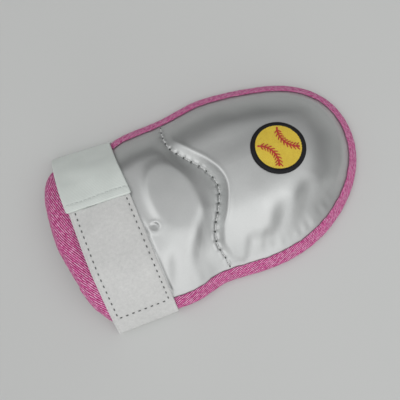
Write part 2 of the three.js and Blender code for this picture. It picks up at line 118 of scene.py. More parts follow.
def feed(tree, socket, value):
    if isinstance(value, bpy.types.NodeSocket):
        tree.links.new(value, socket)
    else:
        socket.default_value = value


def addNode(tree, kind, sockets=(), **settings):
    node = tree.nodes.new(kind)
    for key, value in settings.items():
        setattr(node, key, value)
    for socket, value in dict(sockets).items():
        feed(tree, node.inputs[socket], value)
    return node


def noiseOf(tree, coords, scale, detail=3.0, rough=0.55):
    sockets = {"Vector": coords, "Scale": scale, "Detail": detail, "Roughness": rough}
    return addNode(tree, "ShaderNodeTexNoise", sockets).outputs["Fac"]


def turnedBy(tree, coords, turn):
    sockets = {"Vector": coords, "Rotation": (0, 0, np.radians(turn))}
    return addNode(tree, "ShaderNodeMapping", sockets).outputs["Vector"]


def wavesOf(tree, coords, pitch, turn, distortion=0.0):
    # bands square to the turned first axis, one band for each pitch of the coordinates
    turned = turnedBy(tree, coords, turn)
    sockets = {"Vector": turned, "Scale": np.pi / 10 / pitch, "Distortion": distortion, "Detail": 1.0}
    return addNode(tree, "ShaderNodeTexWave", sockets).outputs["Fac"]


def streaksOf(tree, coords, turn, across, along):
    # noise drawn out along the turned second axis
    sockets = {0: turnedBy(tree, coords, turn), 1: (1 / across, 1 / along, 1)}
    drawn = addNode(tree, "ShaderNodeVectorMath", sockets, operation="MULTIPLY")
    return noiseOf(tree, drawn.outputs["Vector"], 1.0, 2.0, 0.6)


def rampOf(tree, value, stops):
    ramp = addNode(tree, "ShaderNodeValToRGB", {"Fac": value})
    first, last = ramp.color_ramp.elements
    for element, (place, colour) in zip((first, last), (stops[0], stops[-1])):
        element.position = place
        element.color = (*colour, 1)
    for place, colour in stops[1:-1]:
        ramp.color_ramp.elements.new(place).color = (*colour, 1)
    return ramp.outputs["Color"]


def mathOf(tree, operation, a, b):
    return addNode(tree, "ShaderNodeMath", {0: a, 1: b}, operation=operation).outputs[0]


def sumOf(tree, *terms):
    # the values added up, each times its weight
    parts = [value if weight == 1 else mathOf(tree, "MULTIPLY", value, weight) for value, weight in terms]
    total = parts[0]
    for part in parts[1:]:
        total = mathOf(tree, "ADD", total, part)
    return total


def paint(tree, shader, value, stops):
    # base colour along a ramp of the value
    tree.links.new(rampOf(tree, value, stops), shader.inputs["Base Color"])


def mixOf(tree, factor, a, b, blend="MIX"):
    mix = addNode(tree, "ShaderNodeMix", data_type="RGBA", blend_type=blend)
    for socket, value in ((0, factor), (6, a), (7, b)):
        feed(tree, mix.inputs[socket], value)
    return mix.outputs[2]


def bumpOf(tree, shader, height, strength, depth):
    bump = addNode(tree, "ShaderNodeBump", {"Height": height, "Strength": strength, "Distance": depth * mm})
    tree.links.new(bump.outputs["Normal"], shader.inputs["Normal"])


def objectCoords(tree):
    return addNode(tree, "ShaderNodeTexCoord").outputs["Object"]


def stripCoords(tree):
    return addNode(tree, "ShaderNodeTexCoord").outputs["UV"]


def silverCloth():
    # pearl-coated satin: broad tone drift, fine cross weave and a faint crackle in the coat
    finish, tree, shader = newFinish("silverCloth", 0.4, Metallic=0.85, Specular_IOR_Level=0.5)
    place = objectCoords(tree)
    drift, grain = noiseOf(tree, place, 26.0, 2.0), noiseOf(tree, place, 900.0, 2.0)
    tone = sumOf(tree, (drift, 0.75), (grain, 0.25))
    paint(tree, shader, tone, [(0.3, (0.575, 0.590, 0.585)), (0.7, (0.655, 0.665, 0.660))])
    rough = addNode(tree, "ShaderNodeMapRange", {"Value": tone, "To Min": 0.35, "To Max": 0.43})
    tree.links.new(rough.outputs["Result"], shader.inputs["Roughness"])
    weave = sumOf(tree, *((wavesOf(tree, place, 0.55 * mm, turn), 1) for turn in (0, 90)))
    crinkle = noiseOf(tree, place, 190.0, 4.0, 0.6)
    bumpOf(tree, shader, sumOf(tree, (weave, 0.12), (crinkle, 0.9)), 0.22, 0.35)
    return finish


def liningKnit():
    # plain pale knit inside the hollow: small diamond loops
    finish, tree, shader = newFinish("liningKnit", 0.9, Sheen_Weight=0.2)
    place = objectCoords(tree)
    loops = mathOf(tree, "MULTIPLY", wavesOf(tree, place, 1.3 * mm, 45), wavesOf(tree, place, 1.3 * mm, -45))
    paint(tree, shader, loops, [(0.0, (0.38, 0.39, 0.39)), (0.8, (0.60, 0.61, 0.61))])
    bumpOf(tree, shader, loops, 0.4, 0.4)
    return finish


def pinkTwill():
    # twill tape: slanting ribs with a fine thread across, with painted shade in the furrows and a painted
    # highlight on the rib crests, a little faded in places
    finish, tree, shader = newFinish("pinkTwill", 0.78, Sheen_Weight=0.08, Specular_IOR_Level=0.3)
    strip = stripCoords(tree)
    ribs = wavesOf(tree, strip, 1.35, -68, 1.4)
    threads = wavesOf(tree, strip, 0.55, 22, 0.6)
    streaks = streaksOf(tree, strip, -68, 1.2, 3.2)
    fade = noiseOf(tree, objectCoords(tree), 55.0, 3.0)
    # rib colours: the darkest stop is painted shade in the furrows, the near-white stop a painted highlight
    # on the crests
    stops = [
        (0.40, (0.235, 0.005, 0.068)), (0.62, (0.690, 0.062, 0.300)),
        (0.78, (0.930, 0.240, 0.555)), (0.94, (0.99, 0.70, 0.88)),
    ]
    ribShadeAndHighlight = rampOf(tree, sumOf(tree, (ribs, 0.46), (streaks, 0.86)), stops)
    faded = mixOf(tree, mathOf(tree, "MULTIPLY", fade, 0.14), ribShadeAndHighlight, (0.680, 0.170, 0.420, 1))
    colour = mixOf(tree, mathOf(tree, "MULTIPLY", threads, 0.16), faded, (0.36, 0.03, 0.14, 1))
    tree.links.new(colour, shader.inputs["Base Color"])
    bumpOf(tree, shader, sumOf(tree, (ribs, 1), (threads, 0.35)), 0.75, 0.45)
    return finish


def loopPile():
    # brushed loop tape: matted fuzz in soft tufts
    finish, tree, shader = newFinish("loopPile", 0.95, Sheen_Weight=0.35, Sheen_Roughness=0.6)
    place = objectCoords(tree)
    tufts, drift = noiseOf(tree, place, 420.0, 5.0, 0.7), noiseOf(tree, place, 45.0, 2.0)
    tone = sumOf(tree, (tufts, 0.7), (drift, 0.3))
    paint(tree, shader, tone, [(0.28, (0.585, 0.590, 0.581)), (0.72, (0.755, 0.756, 0.742))])
    bumpOf(tree, shader, tufts, 0.5, 0.5)
    return finish


def ribbedTape(name, light, dark, pitch, roughness):
    # woven tape: ribs across its width and finer threads along it
    finish, tree, shader = newFinish(name, roughness, Sheen_Weight=0.15)
    strip = stripCoords(tree)
    ribs = wavesOf(tree, strip, pitch, 90, 0.4)
    threads = wavesOf(tree, strip, pitch * 0.45, 0, 0.4)
    drift = noiseOf(tree, objectCoords(tree), 60.0, 3.0)
    paint(tree, shader, sumOf(tree, (ribs, 0.35), (drift, 0.65)), [(0.25, dark), (0.75, light)])
    bumpOf(tree, shader, sumOf(tree, (ribs, 1), (threads, 0.5)), 0.35, 0.25)
    return finish


def threadFinish(name, light, dark, roughness=0.5, sheen=0.2, gloss=0.5):
    # sewing or embroidery thread: close twist along its length, with a slight sheen
    finish, tree, shader = newFinish(name, roughness, Sheen_Weight=sheen, Specular_IOR_Level=gloss)
    place = objectCoords(tree)
    ply, drift = noiseOf(tree, place, 1300.0, 2.0), noiseOf(tree, place, 120.0, 2.0)
    paint(tree, shader, sumOf(tree, (ply, 0.6), (drift, 0.4)), [(0.3, dark), (0.7, light)])
    bumpOf(tree, shader, ply, 0.35, 0.15)
    return finish


def studioSky():
    # soft light from all round, stronger from above and from the near side, with dim patches and windows
    world = bpy.data.worlds.new("studio")
    bpy.context.scene.world = world
    world.use_nodes = True
    tree = world.node_tree
    ahead = addNode(tree, "ShaderNodeTexCoord").outputs["Generated"]

    def towards(way):
        sockets = {0: ahead, 1: way}
        return addNode(tree, "ShaderNodeVectorMath", sockets, operation="DOT_PRODUCT").outputs["Value"]

    def levels(value, stops):
        return rampOf(tree, value, [(place, (level,) * 3) for place, level in stops])

    over = addNode(tree, "ShaderNodeMapRange", {"Value": towards(studio["skyAxis"]), "From Min": -1})
    across = levels(over.outputs["Result"], studio["skyOver"])
    dome = levels(towards((0, 0, 1)), studio["skyUp"])
    for way, fade in studio["shades"]:
        dome = mixOf(tree, 1.0, dome, levels(towards(way), fade), "MULTIPLY")
    for way, fade in studio["windows"]:
        dome = mixOf(tree, 1.0, dome, levels(towards(way), fade), "ADD")
    tree.links.new(dome, tree.nodes["Background"].inputs["Color"])
    tree.links.new(across, tree.nodes["Background"].inputs["Strength"])


studioSky()


def paleFloor():
    finish, tree, shader = newFinish("paleFloor", 0.85)
    drift = noiseOf(tree, objectCoords(tree), 3.0, 2.0)
    low = tuple(0.97 * c for c in studio["floorColour"])
    paint(tree, shader, drift, [(0.3, low), (0.7, studio["floorColour"])])
    return finish


# Meshes: grids of points become closed pieces


def makePiece(name, points, faces, finishes, uv=None, faceFinish=None):
    corners = np.concatenate([f.ravel() for f in faces])
    sizes = np.concatenate([np.full(len(f), f.shape[1]) for f in faces])
    mesh = bpy.data.meshes.new(name)
    mesh.vertices.add(len(points))
    mesh.vertices.foreach_set("co", ((points + guardPlan["place"]) * mm).ravel())
    mesh.loops.add(len(corners))
    mesh.loops.foreach_set("vertex_index", corners.astype(np.int32))
    mesh.polygons.add(len(sizes))
    mesh.polygons.foreach_set("loop_start", np.concatenate([[0], np.cumsum(sizes)[:-1]]).astype(np.int32))
    if uv is not None:
        layer = mesh.uv_layers.new(name="strip")
        layer.data.foreach_set("uv", np.concatenate([u.reshape(-1, 2) for u in uv]).ravel())
    for finish in finishes:
        mesh.materials.append(finish)
    if faceFinish is not None:
        mesh.polygons.foreach_set("material_index", faceFinish.astype(np.int32))
    mesh.update(calc_edges=True)
    mesh.polygons.foreach_set("use_smooth", np.ones(len(sizes), bool))
    piece = bpy.data.objects.new(name, mesh)
    bpy.context.scene.collection.objects.link(piece)
    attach(piece, "root")
    return piece


def signedVolume(points, quads):
    a, b, c, d = (points[quads[:, k]] for k in range(4))
    return (np.einsum("ij,ij->i", a, np.cross(b, c)) + np.einsum("ij,ij->i", a, np.cross(c, d))).sum() / 6


def quadsOf(corners, width):
    # four corners of each face, as row and column in a grid of the given width
    return np.stack([row * width + column for row, column in corners], -1).reshape(-1, 4)


def endPoles(rings):
    return np.stack([rings[0].mean(0), rings[-1].mean(0)])


def ringPiece(name, rings, finishes, poles=None, uv=None, ringFinish=None):
    # rows of closed rings, each joined to the next; poles close the ends, or else the last meets the first
    rows, around = rings.shape[:2]
    bands = rows if poles is None else rows - 1
    r, i = np.meshgrid(np.arange(bands), np.arange(around), indexing="ij")
    rNext, iNext = (r + 1) % rows, (i + 1) % around
    quads = quadsOf(((r, i), (rNext, i), (rNext, iNext), (r, iNext)), around)
    points = rings.reshape(-1, 3)
    faces = [quads]
    if poles is not None:
        points = np.vstack([points, poles])
        first, last = len(points) - 2, len(points) - 1
        k = np.arange(around)
        kNext = (k + 1) % around
        tail = (rows - 1) * around
        faces.append(np.stack([np.full(around, first), k, kNext], -1))
        faces.append(np.stack([np.full(around, last), tail + kNext, tail + k], -1))
    corners = rings.reshape(-1, 3)
    flip = signedVolume(corners - corners.mean(0), quads) < 0
    strips = None
    if uv is not None:  # a row and a column more than the rings, so that the pattern closes without a jump
        strips = [np.stack([uv[r, i], uv[r + 1, i], uv[r + 1, i + 1], uv[r, i + 1]], -2).reshape(-1, 4, 2)]
        if poles is not None:
            for line, turned in ((uv[0], False), (uv[rows - 1], True)):
                middle = np.broadcast_to(line.mean(0), (around, 2))
                pair = [line[1:], line[:-1]] if turned else [line[:-1], line[1:]]
                strips.append(np.stack([middle, *pair], 1))
    if flip:
        faces = [f[:, ::-1] for f in faces]
        strips = strips and [s[:, ::-1] for s in strips]
    faceFinish = None
    if ringFinish is not None:
        faceFinish = np.repeat(np.concatenate([ringFinish[:bands], ringFinish[[0, -1]]]), around)
    return makePiece(name, points, faces, finishes, strips, faceFinish)


def stitchPiece(name, places, length, radius, finish, slot, lift=0.0, bow=0.0, sides=6, steps=5):
    # every stitch is a small spindle: rings of points round its own line, bowed upwards in the middle
    centres, along, up = places
    centres = centres + up * lift
    along = along / np.linalg.norm(along, axis=-1, keepdims=True)
    up = up - along * np.sum(up * along, -1, keepdims=True)
    up = up / np.linalg.norm(up, axis=-1, keepdims=True)
    side = np.cross(along, up)
    t = np.sin(np.linspace(-0.5, 0.5, steps + 2)[1:-1] * np.pi)
    turn = np.arange(sides) * 2 * np.pi / sides
    swell = (1 - t ** 2) ** 0.4 * radius
    length = np.broadcast_to(np.asarray(length, float), len(centres))
    line = centres[:, None] + along[:, None] * (t[None, :, None] * length[:, None, None] / 2)
    line = line + up[:, None] * (bow * (1 - t ** 2))[None, :, None]
    ring = up[:, None, None] * np.cos(turn)[:, None] + side[:, None, None] * np.sin(turn)[:, None]
    body = line[:, :, None] + ring * swell[None, :, None, None]
    tips = centres[:, None] + along[:, None] * (np.array([-1, 1])[None, :, None] * length[:, None, None] / 2)
    local = np.concatenate([body.reshape(len(centres), -1, 3), tips], 1)
    r, i = np.meshgrid(np.arange(steps - 1), np.arange(sides), indexing="ij")
    iNext = (i + 1) % sides
    quads = quadsOf(((r, i), (r, iNext), (r + 1, iNext), (r + 1, i)), sides)
    k = np.arange(sides)
    kNext = (k + 1) % sides
    low, high, tail = steps * sides, steps * sides + 1, (steps - 1) * sides
    fans = np.vstack([
        np.stack([np.full(sides, low), kNext, k], -1),
        np.stack([np.full(sides, high), tail + k, tail + kNext], -1),
    ])
    if signedVolume(local[0] - centres[0], quads) < 0:
        quads, fans = quads[:, ::-1], fans[:, ::-1]
    shift = (np.arange(len(centres)) * local.shape[1])[:, None, None]
    faces = [(quads[None] + shift).reshape(-1, 4), (fans[None] + shift).reshape(-1, 3)]
    return makePiece(name, local.reshape(-1, 3), faces, [finish])


def smoothStep(t):
    t = np.clip(t, 0, 1)
    return t * t * (3 - 2 * t)


def blend(a, b, t):
    return a + (b - a) * t


def fade(sizes, key, at):
    # 0 to 1 from a start and over a distance, both named after the key; a negative distance runs downwards
    return smoothStep((at - sizes[key + "From"]) / sizes[key + "Over"])


def shoulder(t):
    return 1 - (1 - np.clip(t, 0, 1)) ** 2


def softRise(t, sharp=9.0):
    # straight rise that rounds over into a level top at 1
    return -np.log((np.exp(-sharp * 1.1 * t) + np.exp(-sharp)) / (1 + np.exp(-sharp))) / sharp


def bell(t):
    return np.exp(-t * t)


def ripple(s, pitches, seed):
    # sum of waves of the given pitches with seeded starts, within about -1 to 1
    starts = np.random.default_rng(seed).uniform(0, 2 * np.pi, len(pitches))
    return sum(np.sin(2 * np.pi * s / p + a) for p, a in zip(pitches, starts)) / len(pitches)


# Plan of the guard: edge line, seam and arched shell

guardPlan = {
    # x, near edge, far edge
    "rails": np.array([
        (-150, -75.5, 62.0), (-112, -75.4, 63.4), (-90, -75.2, 64.6), (-66, -75.9, 65.4),
        (-57.5, -76.6, 68.1), (-42, -76.4, 69.7), (-18, -71.7, 71.7), (14, -74.0, 76.9),
        (40, -74.2, 76.8), (70, -72.2, 78.2), (140, -62.0, 90.0),
    ]),
    "nose": {"start": 20, "tip": 128.2, "power": 2.1, "cut": 0},
    "mouth": {"start": -84, "tip": -124.4, "power": 4.4, "cut": 13.5},
    "seamEnds": (-20.0, -10.5),
    "seamBends": [
        (-23.8, 50), (-22.6, 36), (-14.4, 22.7), (-6, 12), (-0.5, 1),
        (0.5, -9), (-5, -22), (-12.5, -34), (-15.8, -46), (-13, -57),
    ],
    "seamGap": 0.1,
    "place": (-1.8, 0.5, 0.0),  # sets the middle of the guard's box on the origin
}
guardShell = {
    "rise": 20, "power": 3.3, "tipSteep": 0.36, "crown": 3, "half": 1.8, "probe": 0.3,
    "lift": 1.5, "liftFrom": -20, "liftOver": -30,  # the rim rises where the strap passes under it
}
edgeTape = {
    "outer": 3.2, "inner": 2.1, "flap": 8.5, "flangeEnd": 1.5, "clear": -0.2, "thinEdge": 0.5,
    "mouthFlap": 15.0, "mouthFrom": -98.0, "mouthOver": -14.0,
}


def railAt(x, column):
    # cubic through the rows of the rails, with slopes taken from each row's neighbours
    xs, ys = guardPlan["rails"][:, 0], guardPlan["rails"][:, column]
    k = np.arange(len(xs))
    before, after = np.maximum(k - 1, 0), np.minimum(k + 1, len(xs) - 1)
    slopes = (ys[after] - ys[before]) / (xs[after] - xs[before])
    i = np.clip(np.searchsorted(xs, x, side="right") - 1, 0, len(xs) - 2)
    span = xs[i + 1] - xs[i]
    t = (x - xs[i]) / span
    bend = (1 - t) * slopes[i] - t * slopes[i + 1]
    return ys[i] + (ys[i + 1] - ys[i]) * t * t * (3 - 2 * t) + span * t * (1 - t) * bend


def shellHeight(x, y):
    # arch between the two rails, closed over the elbow end by a superellipse, with a low crown on top
    near, far = railAt(x, 1), railAt(x, 2)
    across = np.abs((2 * y - near - far) / (far - near))
    nose = guardPlan["nose"]
    along = np.maximum(x - nose["start"], 0) / (nose["tip"] - nose["start"])
    sides, tip = across ** nose["power"], along ** nose["power"]
    reach = (sides + tip) ** (1 / nose["power"])
    power = guardShell["power"] * (1 + guardShell["tipSteep"] * tip / np.maximum(sides + tip, 1e-9))
    base = edgeTape["outer"] + guardShell["lift"] * fade(guardShell, "lift", x)
    arch = guardShell["rise"] * (1 - reach ** power)
    return base + arch + guardShell["crown"] * (1 - np.minimum(reach, 1) ** 2) ** 2


def shellNormal(x, y):
    h = guardShell["probe"]
    slopeX = (shellHeight(x + h, y) - shellHeight(x - h, y)) / (2 * h)
    slopeY = (shellHeight(x, y + h) - shellHeight(x, y - h)) / (2 * h)
    normal = np.stack([-slopeX, -slopeY, np.ones_like(slopeX)], -1)
    return normal / np.linalg.norm(normal, axis=-1, keepdims=True)


def onShell(x, y, offset):
    # point at a distance above the shell's mid surface, measured square to it
    base = np.stack([x, y, shellHeight(x, y)], -1)
    return base + shellNormal(x, y) * np.broadcast_to(offset, np.shape(x))[..., None]


def arcOf(line, closed=False):
    steps = np.linalg.norm(np.diff(np.vstack([line, line[:1]]) if closed else line, axis=0), axis=1)
    return np.concatenate([[0], np.cumsum(steps)])


def alongLine(line, arc, at):
    return np.stack([np.interp(at, arc, column) for column in line.T], -1)


def evenly(points, count, closed=False):
    # the same line as points at even spacing
    arc = arcOf(points, closed)
    at = np.linspace(0, arc[-1], count, endpoint=not closed)
    return alongLine(np.vstack([points, points[:1]]) if closed else points, arc, at)


def throughBends(points, steps=24):
    # smooth line through the points, each span a cubic whose ends point along the neighbours
    p = np.vstack([points[:1], points, points[-1:]])
    t = np.linspace(0, 1, steps, endpoint=False)[None, :, None]
    a, b, c, d = (p[k:len(p) - 3 + k, None] for k in range(4))
    spans = b + (c - a) * t / 2 + (2 * a - 5 * b + 4 * c - d) * t ** 2 / 2
    spans = spans + (3 * b - a - 3 * c + d) * t ** 3 / 2
    return np.vstack([spans.reshape(-1, 2), points[-1:]])


def railRun(column, fromX, toX):
    x = np.linspace(fromX, toX, 160)
    return np.stack([x, railAt(x, column)], -1)


def endArc(end, turn, steps=900):
    # superellipse from one rail round to the other, cut back in its near half
    angle = np.pi * np.linspace(-0.5, 0.5, steps) * turn
    out = np.abs(np.cos(angle)) ** (2 / end["power"])
    across = np.sign(np.sin(angle)) * np.abs(np.sin(angle)) ** (2 / end["power"])
    x = end["start"] + (end["tip"] - end["start"]) * out + end["cut"] * out * np.maximum(-across, 0)
    near, far = railAt(x, 1), railAt(x, 2)
    return np.stack([x, (near + far) / 2 + across * (far - near) / 2], -1)


seamFarX, seamNearX = guardPlan["seamEnds"]
noseStart, mouthStart = guardPlan["nose"]["start"], guardPlan["mouth"]["start"]
farEnd = np.array([[seamFarX, railAt(seamFarX, 2)]])
nearEnd = np.array([[seamNearX, railAt(seamNearX, 1)]])
elbowRun = np.vstack([
    railRun(1, seamNearX, noseStart), endArc(guardPlan["nose"], 1)[1:], railRun(2, noseStart, seamFarX)[1:],
])
armRun = np.vstack([
    railRun(2, seamFarX, mouthStart), endArc(guardPlan["mouth"], -1)[1:],
    railRun(1, mouthStart, seamNearX)[1:],
])
seamLine = evenly(throughBends(np.vstack([farEnd, guardPlan["seamBends"], nearEnd])), 320)
# anticlockwise from the seam's near end
edgeLine = evenly(np.vstack([elbowRun, armRun[1:-1]]), 720, closed=True)
edgeArc = arcOf(edgeLine, closed=True)
edgeAlong = np.roll(edgeLine, -3, axis=0) - np.roll(edgeLine, 3, axis=0)
edgeAlong /= np.linalg.norm(edgeAlong, axis=1, keepdims=True)
edgeInward = np.stack([-edgeAlong[:, 1], edgeAlong[:, 0]], -1)
edgeSlope = np.arctan(shellHeight(*(edgeLine + edgeInward).T) - shellHeight(*edgeLine.T))
edgeFlap = blend(edgeTape["flap"], edgeTape["mouthFlap"], fade(edgeTape, "mouth", edgeLine[:, 0]))
edgeInset = edgeFlap * np.cos(edgeSlope)
seamArc = arcOf(seamLine)


def nearestOn(line, arc, x, y, closed=False):
    # nearest corner of the line, then the nearer of the two spans that meet there; distance and arc length
    places = np.stack([np.ravel(x), np.ravel(y)], -1)
    square = (line ** 2).sum(1)
    blocks = np.array_split(places, 1 + len(places) // 6000)
    index = np.concatenate([(square - 2 * block @ line.T).argmin(1) for block in blocks])
    best, at = np.full(len(places), np.inf), np.zeros(len(places))
    for step in (-1, 0):
        i = (index + step) % len(line) if closed else np.clip(index + step, 0, len(line) - 2)
        a, b = line[i], line[(i + 1) % len(line)]
        span = b - a
        t = np.clip(((places - a) * span).sum(1) / (span ** 2).sum(1), 0, 1)
        gap = np.linalg.norm(a + span * t[:, None] - places, axis=1)
        here = arc[i] + t * np.linalg.norm(span, axis=1)
        at = np.where(gap < best, here, at)
        best = np.minimum(gap, best)
    return best.reshape(np.shape(x)), at.reshape(np.shape(x))


def fromTape(x, y):
    # distance in plan from the tape's inner edge, negative under the tape, and the place along the edge
    gap, at = nearestOn(edgeLine, edgeArc, x, y, closed=True)
    return gap - np.interp(at, edgeArc, np.append(edgeInset, edgeInset[0])), at


print("plan ready: edge %.0f mm, seam %.0f mm" % (edgeArc[-1], seamArc[-1]))

# Padding: what the cloth of each pad stands above the flange

seamSewing = {
    "pitch": 6.9, "inset": 0.5, "first": 9.0, "last": 8.0, "bumps": (0.34, 0.67), "hem": 3.5,
    "pucker": 0.45, "puckerFull": 0.35, "puckerAt": 1.3, "puckerWidth": 1.1, "dip": 0.35, "dipWidth": 1.5,
    "probe": 0.5, "step": 0.8, "bump": (2.3, 0.45), "hole": (1.4, 0.6),  # length and radius
}
tapeRise = {
    "reach": 34.0, "toe": 7.0, "settle": 8.0, "sewSettle": 3.0,
    "gathers": (8.5, 12.0, 17.0, 27.0), "gatherReach": 9.0, "gatherToe": 2.5,
}
clothSlack = {"along": (31, 47, 66), "across": (27, 43, 58), "slant": 0.35, "lean": 0.4, "seamClear": 12.0}
foldShape = {"rightWidth": 1.6, "ridge": 0.15, "ridgeAt": 1.8, "footFade": 0.5}
elbowPad = {
    "core": (50.0, 2.0), "depth": 14.5, "fill": 0.75,
    "wall": 0.55, "wallReach": 7.5, "wallRound": 7.0, "wallEase": 0.3, "easeFrom": 2.0, "easeOver": 22.0,
    "slow": 0.21, "slowFrom": -14.0, "slowOver": 52.0,
    "lip": {"height": 0.5, "at": 7.2, "width": 2.0},
    # head x, y, foot x, y, width, depth of each fold between the plateau and the near tape
    "folds": [
        (15.5, -43, 8.5, -62, 5.0, 2.2), (26.5, -43.5, 19.5, -64, 5.0, 1.9), (48.5, -29, 27.5, -66, 7.6, 4.2),
        (71, -23, 49.5, -62.5, 8.4, 4.7), (92, -29, 76, -50, 8.4, 2.8),
    ],
    "foldHead": 0.55, "foldNeeds": 2.0,
    "noseRoll": {"height": 0.5, "inside": 9.0, "width": 4.5, "rollFrom": 70.0, "rollOver": 25.0},
    "slack": 0.45, "slackSeed": 5, "gather": 0.45, "gatherSeed": 11, "pucker": 1.0,
}
armPad = {
    "core": (-84.0, -5.0), "depth": 8.0, "fill": 0.5, "tapeReach": 34.0, "seamReach": 16.0,
    "mouthReach": 12.0, "mouthFrom": -90.0, "mouthOver": -25.0,
    "plate": {
        "x": -33.4, "y": -6.0, "halfX": 18.4, "halfY": 31.6, "turn": 8.4, "power": 2.1,
        "height": 3.4, "lowHeight": 1.8, "leftFrom": 0.35, "edge": 0.15, "leftEdge": 0.1, "nearEdge": 0.23,
        "spread": 0.22, "lowMiddle": 0.5, "lowAcross": 0.4, "lowAlong": 0.15,
        "calmFrom": 0.9, "calmOver": 0.3,
    },
    "dimple": {
        "x": -54.4, "y": -20.3, "radius": 4.0, "depth": 0.5, "lean": (0.495, 0.979), "flat": 0.5,
        "ring": 0.34, "ringAt": 1.05, "ringWidth": 0.36,
    },
    "folds": [
        (-40, -25, -50.5, -62, 6.4, 2.8), (-32, -35, -50, -63, 5.0, -0.7), (-12.5, -18, -29.5, -46, 5.6, 2.3),
    ],
    "foldHead": 0.7, "foldNeeds": 2.0,
    "furrow": {
        "x": -61.75, "lean": -0.035, "width": 1.2, "depth": 1.0, "furrowFrom": -8.0, "furrowOver": -14.0,
    },
    "slack": 0.3, "slackSeed": 21, "gather": 0.4, "gatherSeed": 23, "pucker": 0.5,
    "stillFrom": -112.0, "stillOver": 20.0,
}


def foldRelief(folds, headFade, x, y):
    # each fold is a valley along its line: steep at its left with a low ridge, slow at its right
    relief = np.zeros_like(x)
    for headX, headY, footX, footY, width, depth in folds:
        dx, dy = footX - headX, footY - headY
        t = ((x - headX) * dx + (y - headY) * dy) / (dx * dx + dy * dy)
        side = ((x - headX) * dy - (y - headY) * dx) / np.hypot(dx, dy)
        side = side / (width * np.where(side > 0, 1.0, foldShape["rightWidth"]))
        profile = foldShape["ridge"] * bell(side - foldShape["ridgeAt"]) - bell(side)
        fade = smoothStep(t / headFade) * (1 - smoothStep((t - 1) / foldShape["footFade"]))
        relief += depth * fade * profile
    return relief


def folded(pad, depth, x, y):
    # the folds fade out where the padding is thinner than they are deep
    relief = foldRelief(pad["folds"], pad["foldHead"], x, y)
    return depth + relief * (1 - np.exp(-depth / np.hypot(pad["foldNeeds"], relief)))


def riseFromTape(inside):
    # starts level at the tape, then climbs straight and rounds over into a level top at 1
    return softRise(inside ** 2 / (inside + tapeRise["toe"]) / tapeRise["reach"])


def edgePuckers(inside, at, seed, height):
    # small gathers where the cloth runs under the tape, dying out inwards
    fade = bell(inside / tapeRise["gatherReach"]) * smoothStep(inside / tapeRise["gatherToe"])
    return height * ripple(at, tapeRise["gathers"], seed) * fade


def softWaves(x, y, height, seed):
    # slack of the cloth: slow waves that cross each other
    first = ripple(x + clothSlack["slant"] * y, clothSlack["along"], seed)
    second = ripple(y - clothSlack["lean"] * x, clothSlack["across"], seed + 1)
    return height * (first + second) / 2


def seamPuckers(seam, at):
    # the cloth bulges between the needle holes and is drawn down at each of them
    phase = 0.5 - 0.5 * np.cos(2 * np.pi * (at - seamSewing["first"]) / seamSewing["pitch"])
    bulge = seamSewing["pucker"] * (phase + seamSewing["puckerFull"] * np.sin(np.pi * phase) ** 2)
    bulge = bulge * bell((seam - seamSewing["puckerAt"]) / seamSewing["puckerWidth"])
    return bulge - seamSewing["dip"] * (1 - phase) ** 3 * bell(seam / seamSewing["dipWidth"])


def clothPlaces(x, y):
    # how far inside the tape a place lies and where along the edge, then the same two for the seam
    tape, at = fromTape(x, y)
    return np.maximum(tape - edgeTape["clear"], 0), at, *nearestOn(seamLine, seamArc, x, y)


def relaxed(pad, depth, x, y, places, still=1.0, loose=1.0):
    # adds the slack, the gathers at the tape and the puckers at the seam, none of them under the tape
    inside, at, seam, stitchAt = places
    waves = softWaves(x, y, pad["slack"], pad["slackSeed"]) * loose
    waves = waves * smoothStep(seam / clothSlack["seamClear"])
    waves = waves + edgePuckers(inside, at, pad["gatherSeed"], pad["gather"])
    depth = depth + smoothStep(inside / tapeRise["settle"]) * still * waves
    sewn = pad["pucker"] * seamPuckers(seam, stitchAt) * smoothStep(inside / tapeRise["sewSettle"])
    return np.maximum(depth + sewn, 0)


def elbowCloth(x, y):
    # swells from the tape to a level top; from the sewn hem at the seam a short wall with a soft lip
    places = clothPlaces(x, y)
    inside, _, seam, _ = places
    lip, roll = elbowPad["lip"], elbowPad["noseRoll"]
    ease = 1 - elbowPad["wallEase"] * fade(elbowPad, "ease", y)
    wall = elbowPad["wall"] * softRise(seam / elbowPad["wallReach"], elbowPad["wallRound"]) * ease
    depth = seamSewing["hem"] + elbowPad["depth"] * (wall + elbowPad["slow"] * fade(elbowPad, "slow", x))
    depth = depth + lip["height"] * bell((seam - lip["at"]) / lip["width"])
    depth = folded(elbowPad, depth * riseFromTape(inside), x, y)
    depth += roll["height"] * bell((inside - roll["inside"]) / roll["width"]) * fade(roll, "roll", x)
    return relaxed(elbowPad, depth, x, y, places)


def plateRise(x, y):
    # flat oval under the cloth, lower and broader towards its near left, and how far out of it a place lies
    plate = armPad["plate"]
    turn = np.radians(plate["turn"])
    a = ((x - plate["x"]) * np.cos(turn) + (y - plate["y"]) * np.sin(turn)) / plate["halfX"]
    b = ((y - plate["y"]) * np.cos(turn) - (x - plate["x"]) * np.sin(turn)) / plate["halfY"]
    left, near = smoothStep(plate["leftFrom"] - a), smoothStep(-b)
    out = (np.abs(a) ** plate["power"] + np.abs(b) ** plate["power"]) ** (1 / plate["power"])
    out = out / (1 + plate["spread"] * near * left)
    share = smoothStep(plate["lowMiddle"] + plate["lowAcross"] * a + plate["lowAlong"] * b)
    height = blend(plate["lowHeight"], plate["height"], share)
    edge = blend(plate["edge"], plate["leftEdge"], left * (1 - near))
    edge = edge + (plate["nearEdge"] - plate["edge"]) * near * left
    return height * (1 - np.exp(-np.exp((1 - out) / edge))), out  # quick round at its top edge, slow foot


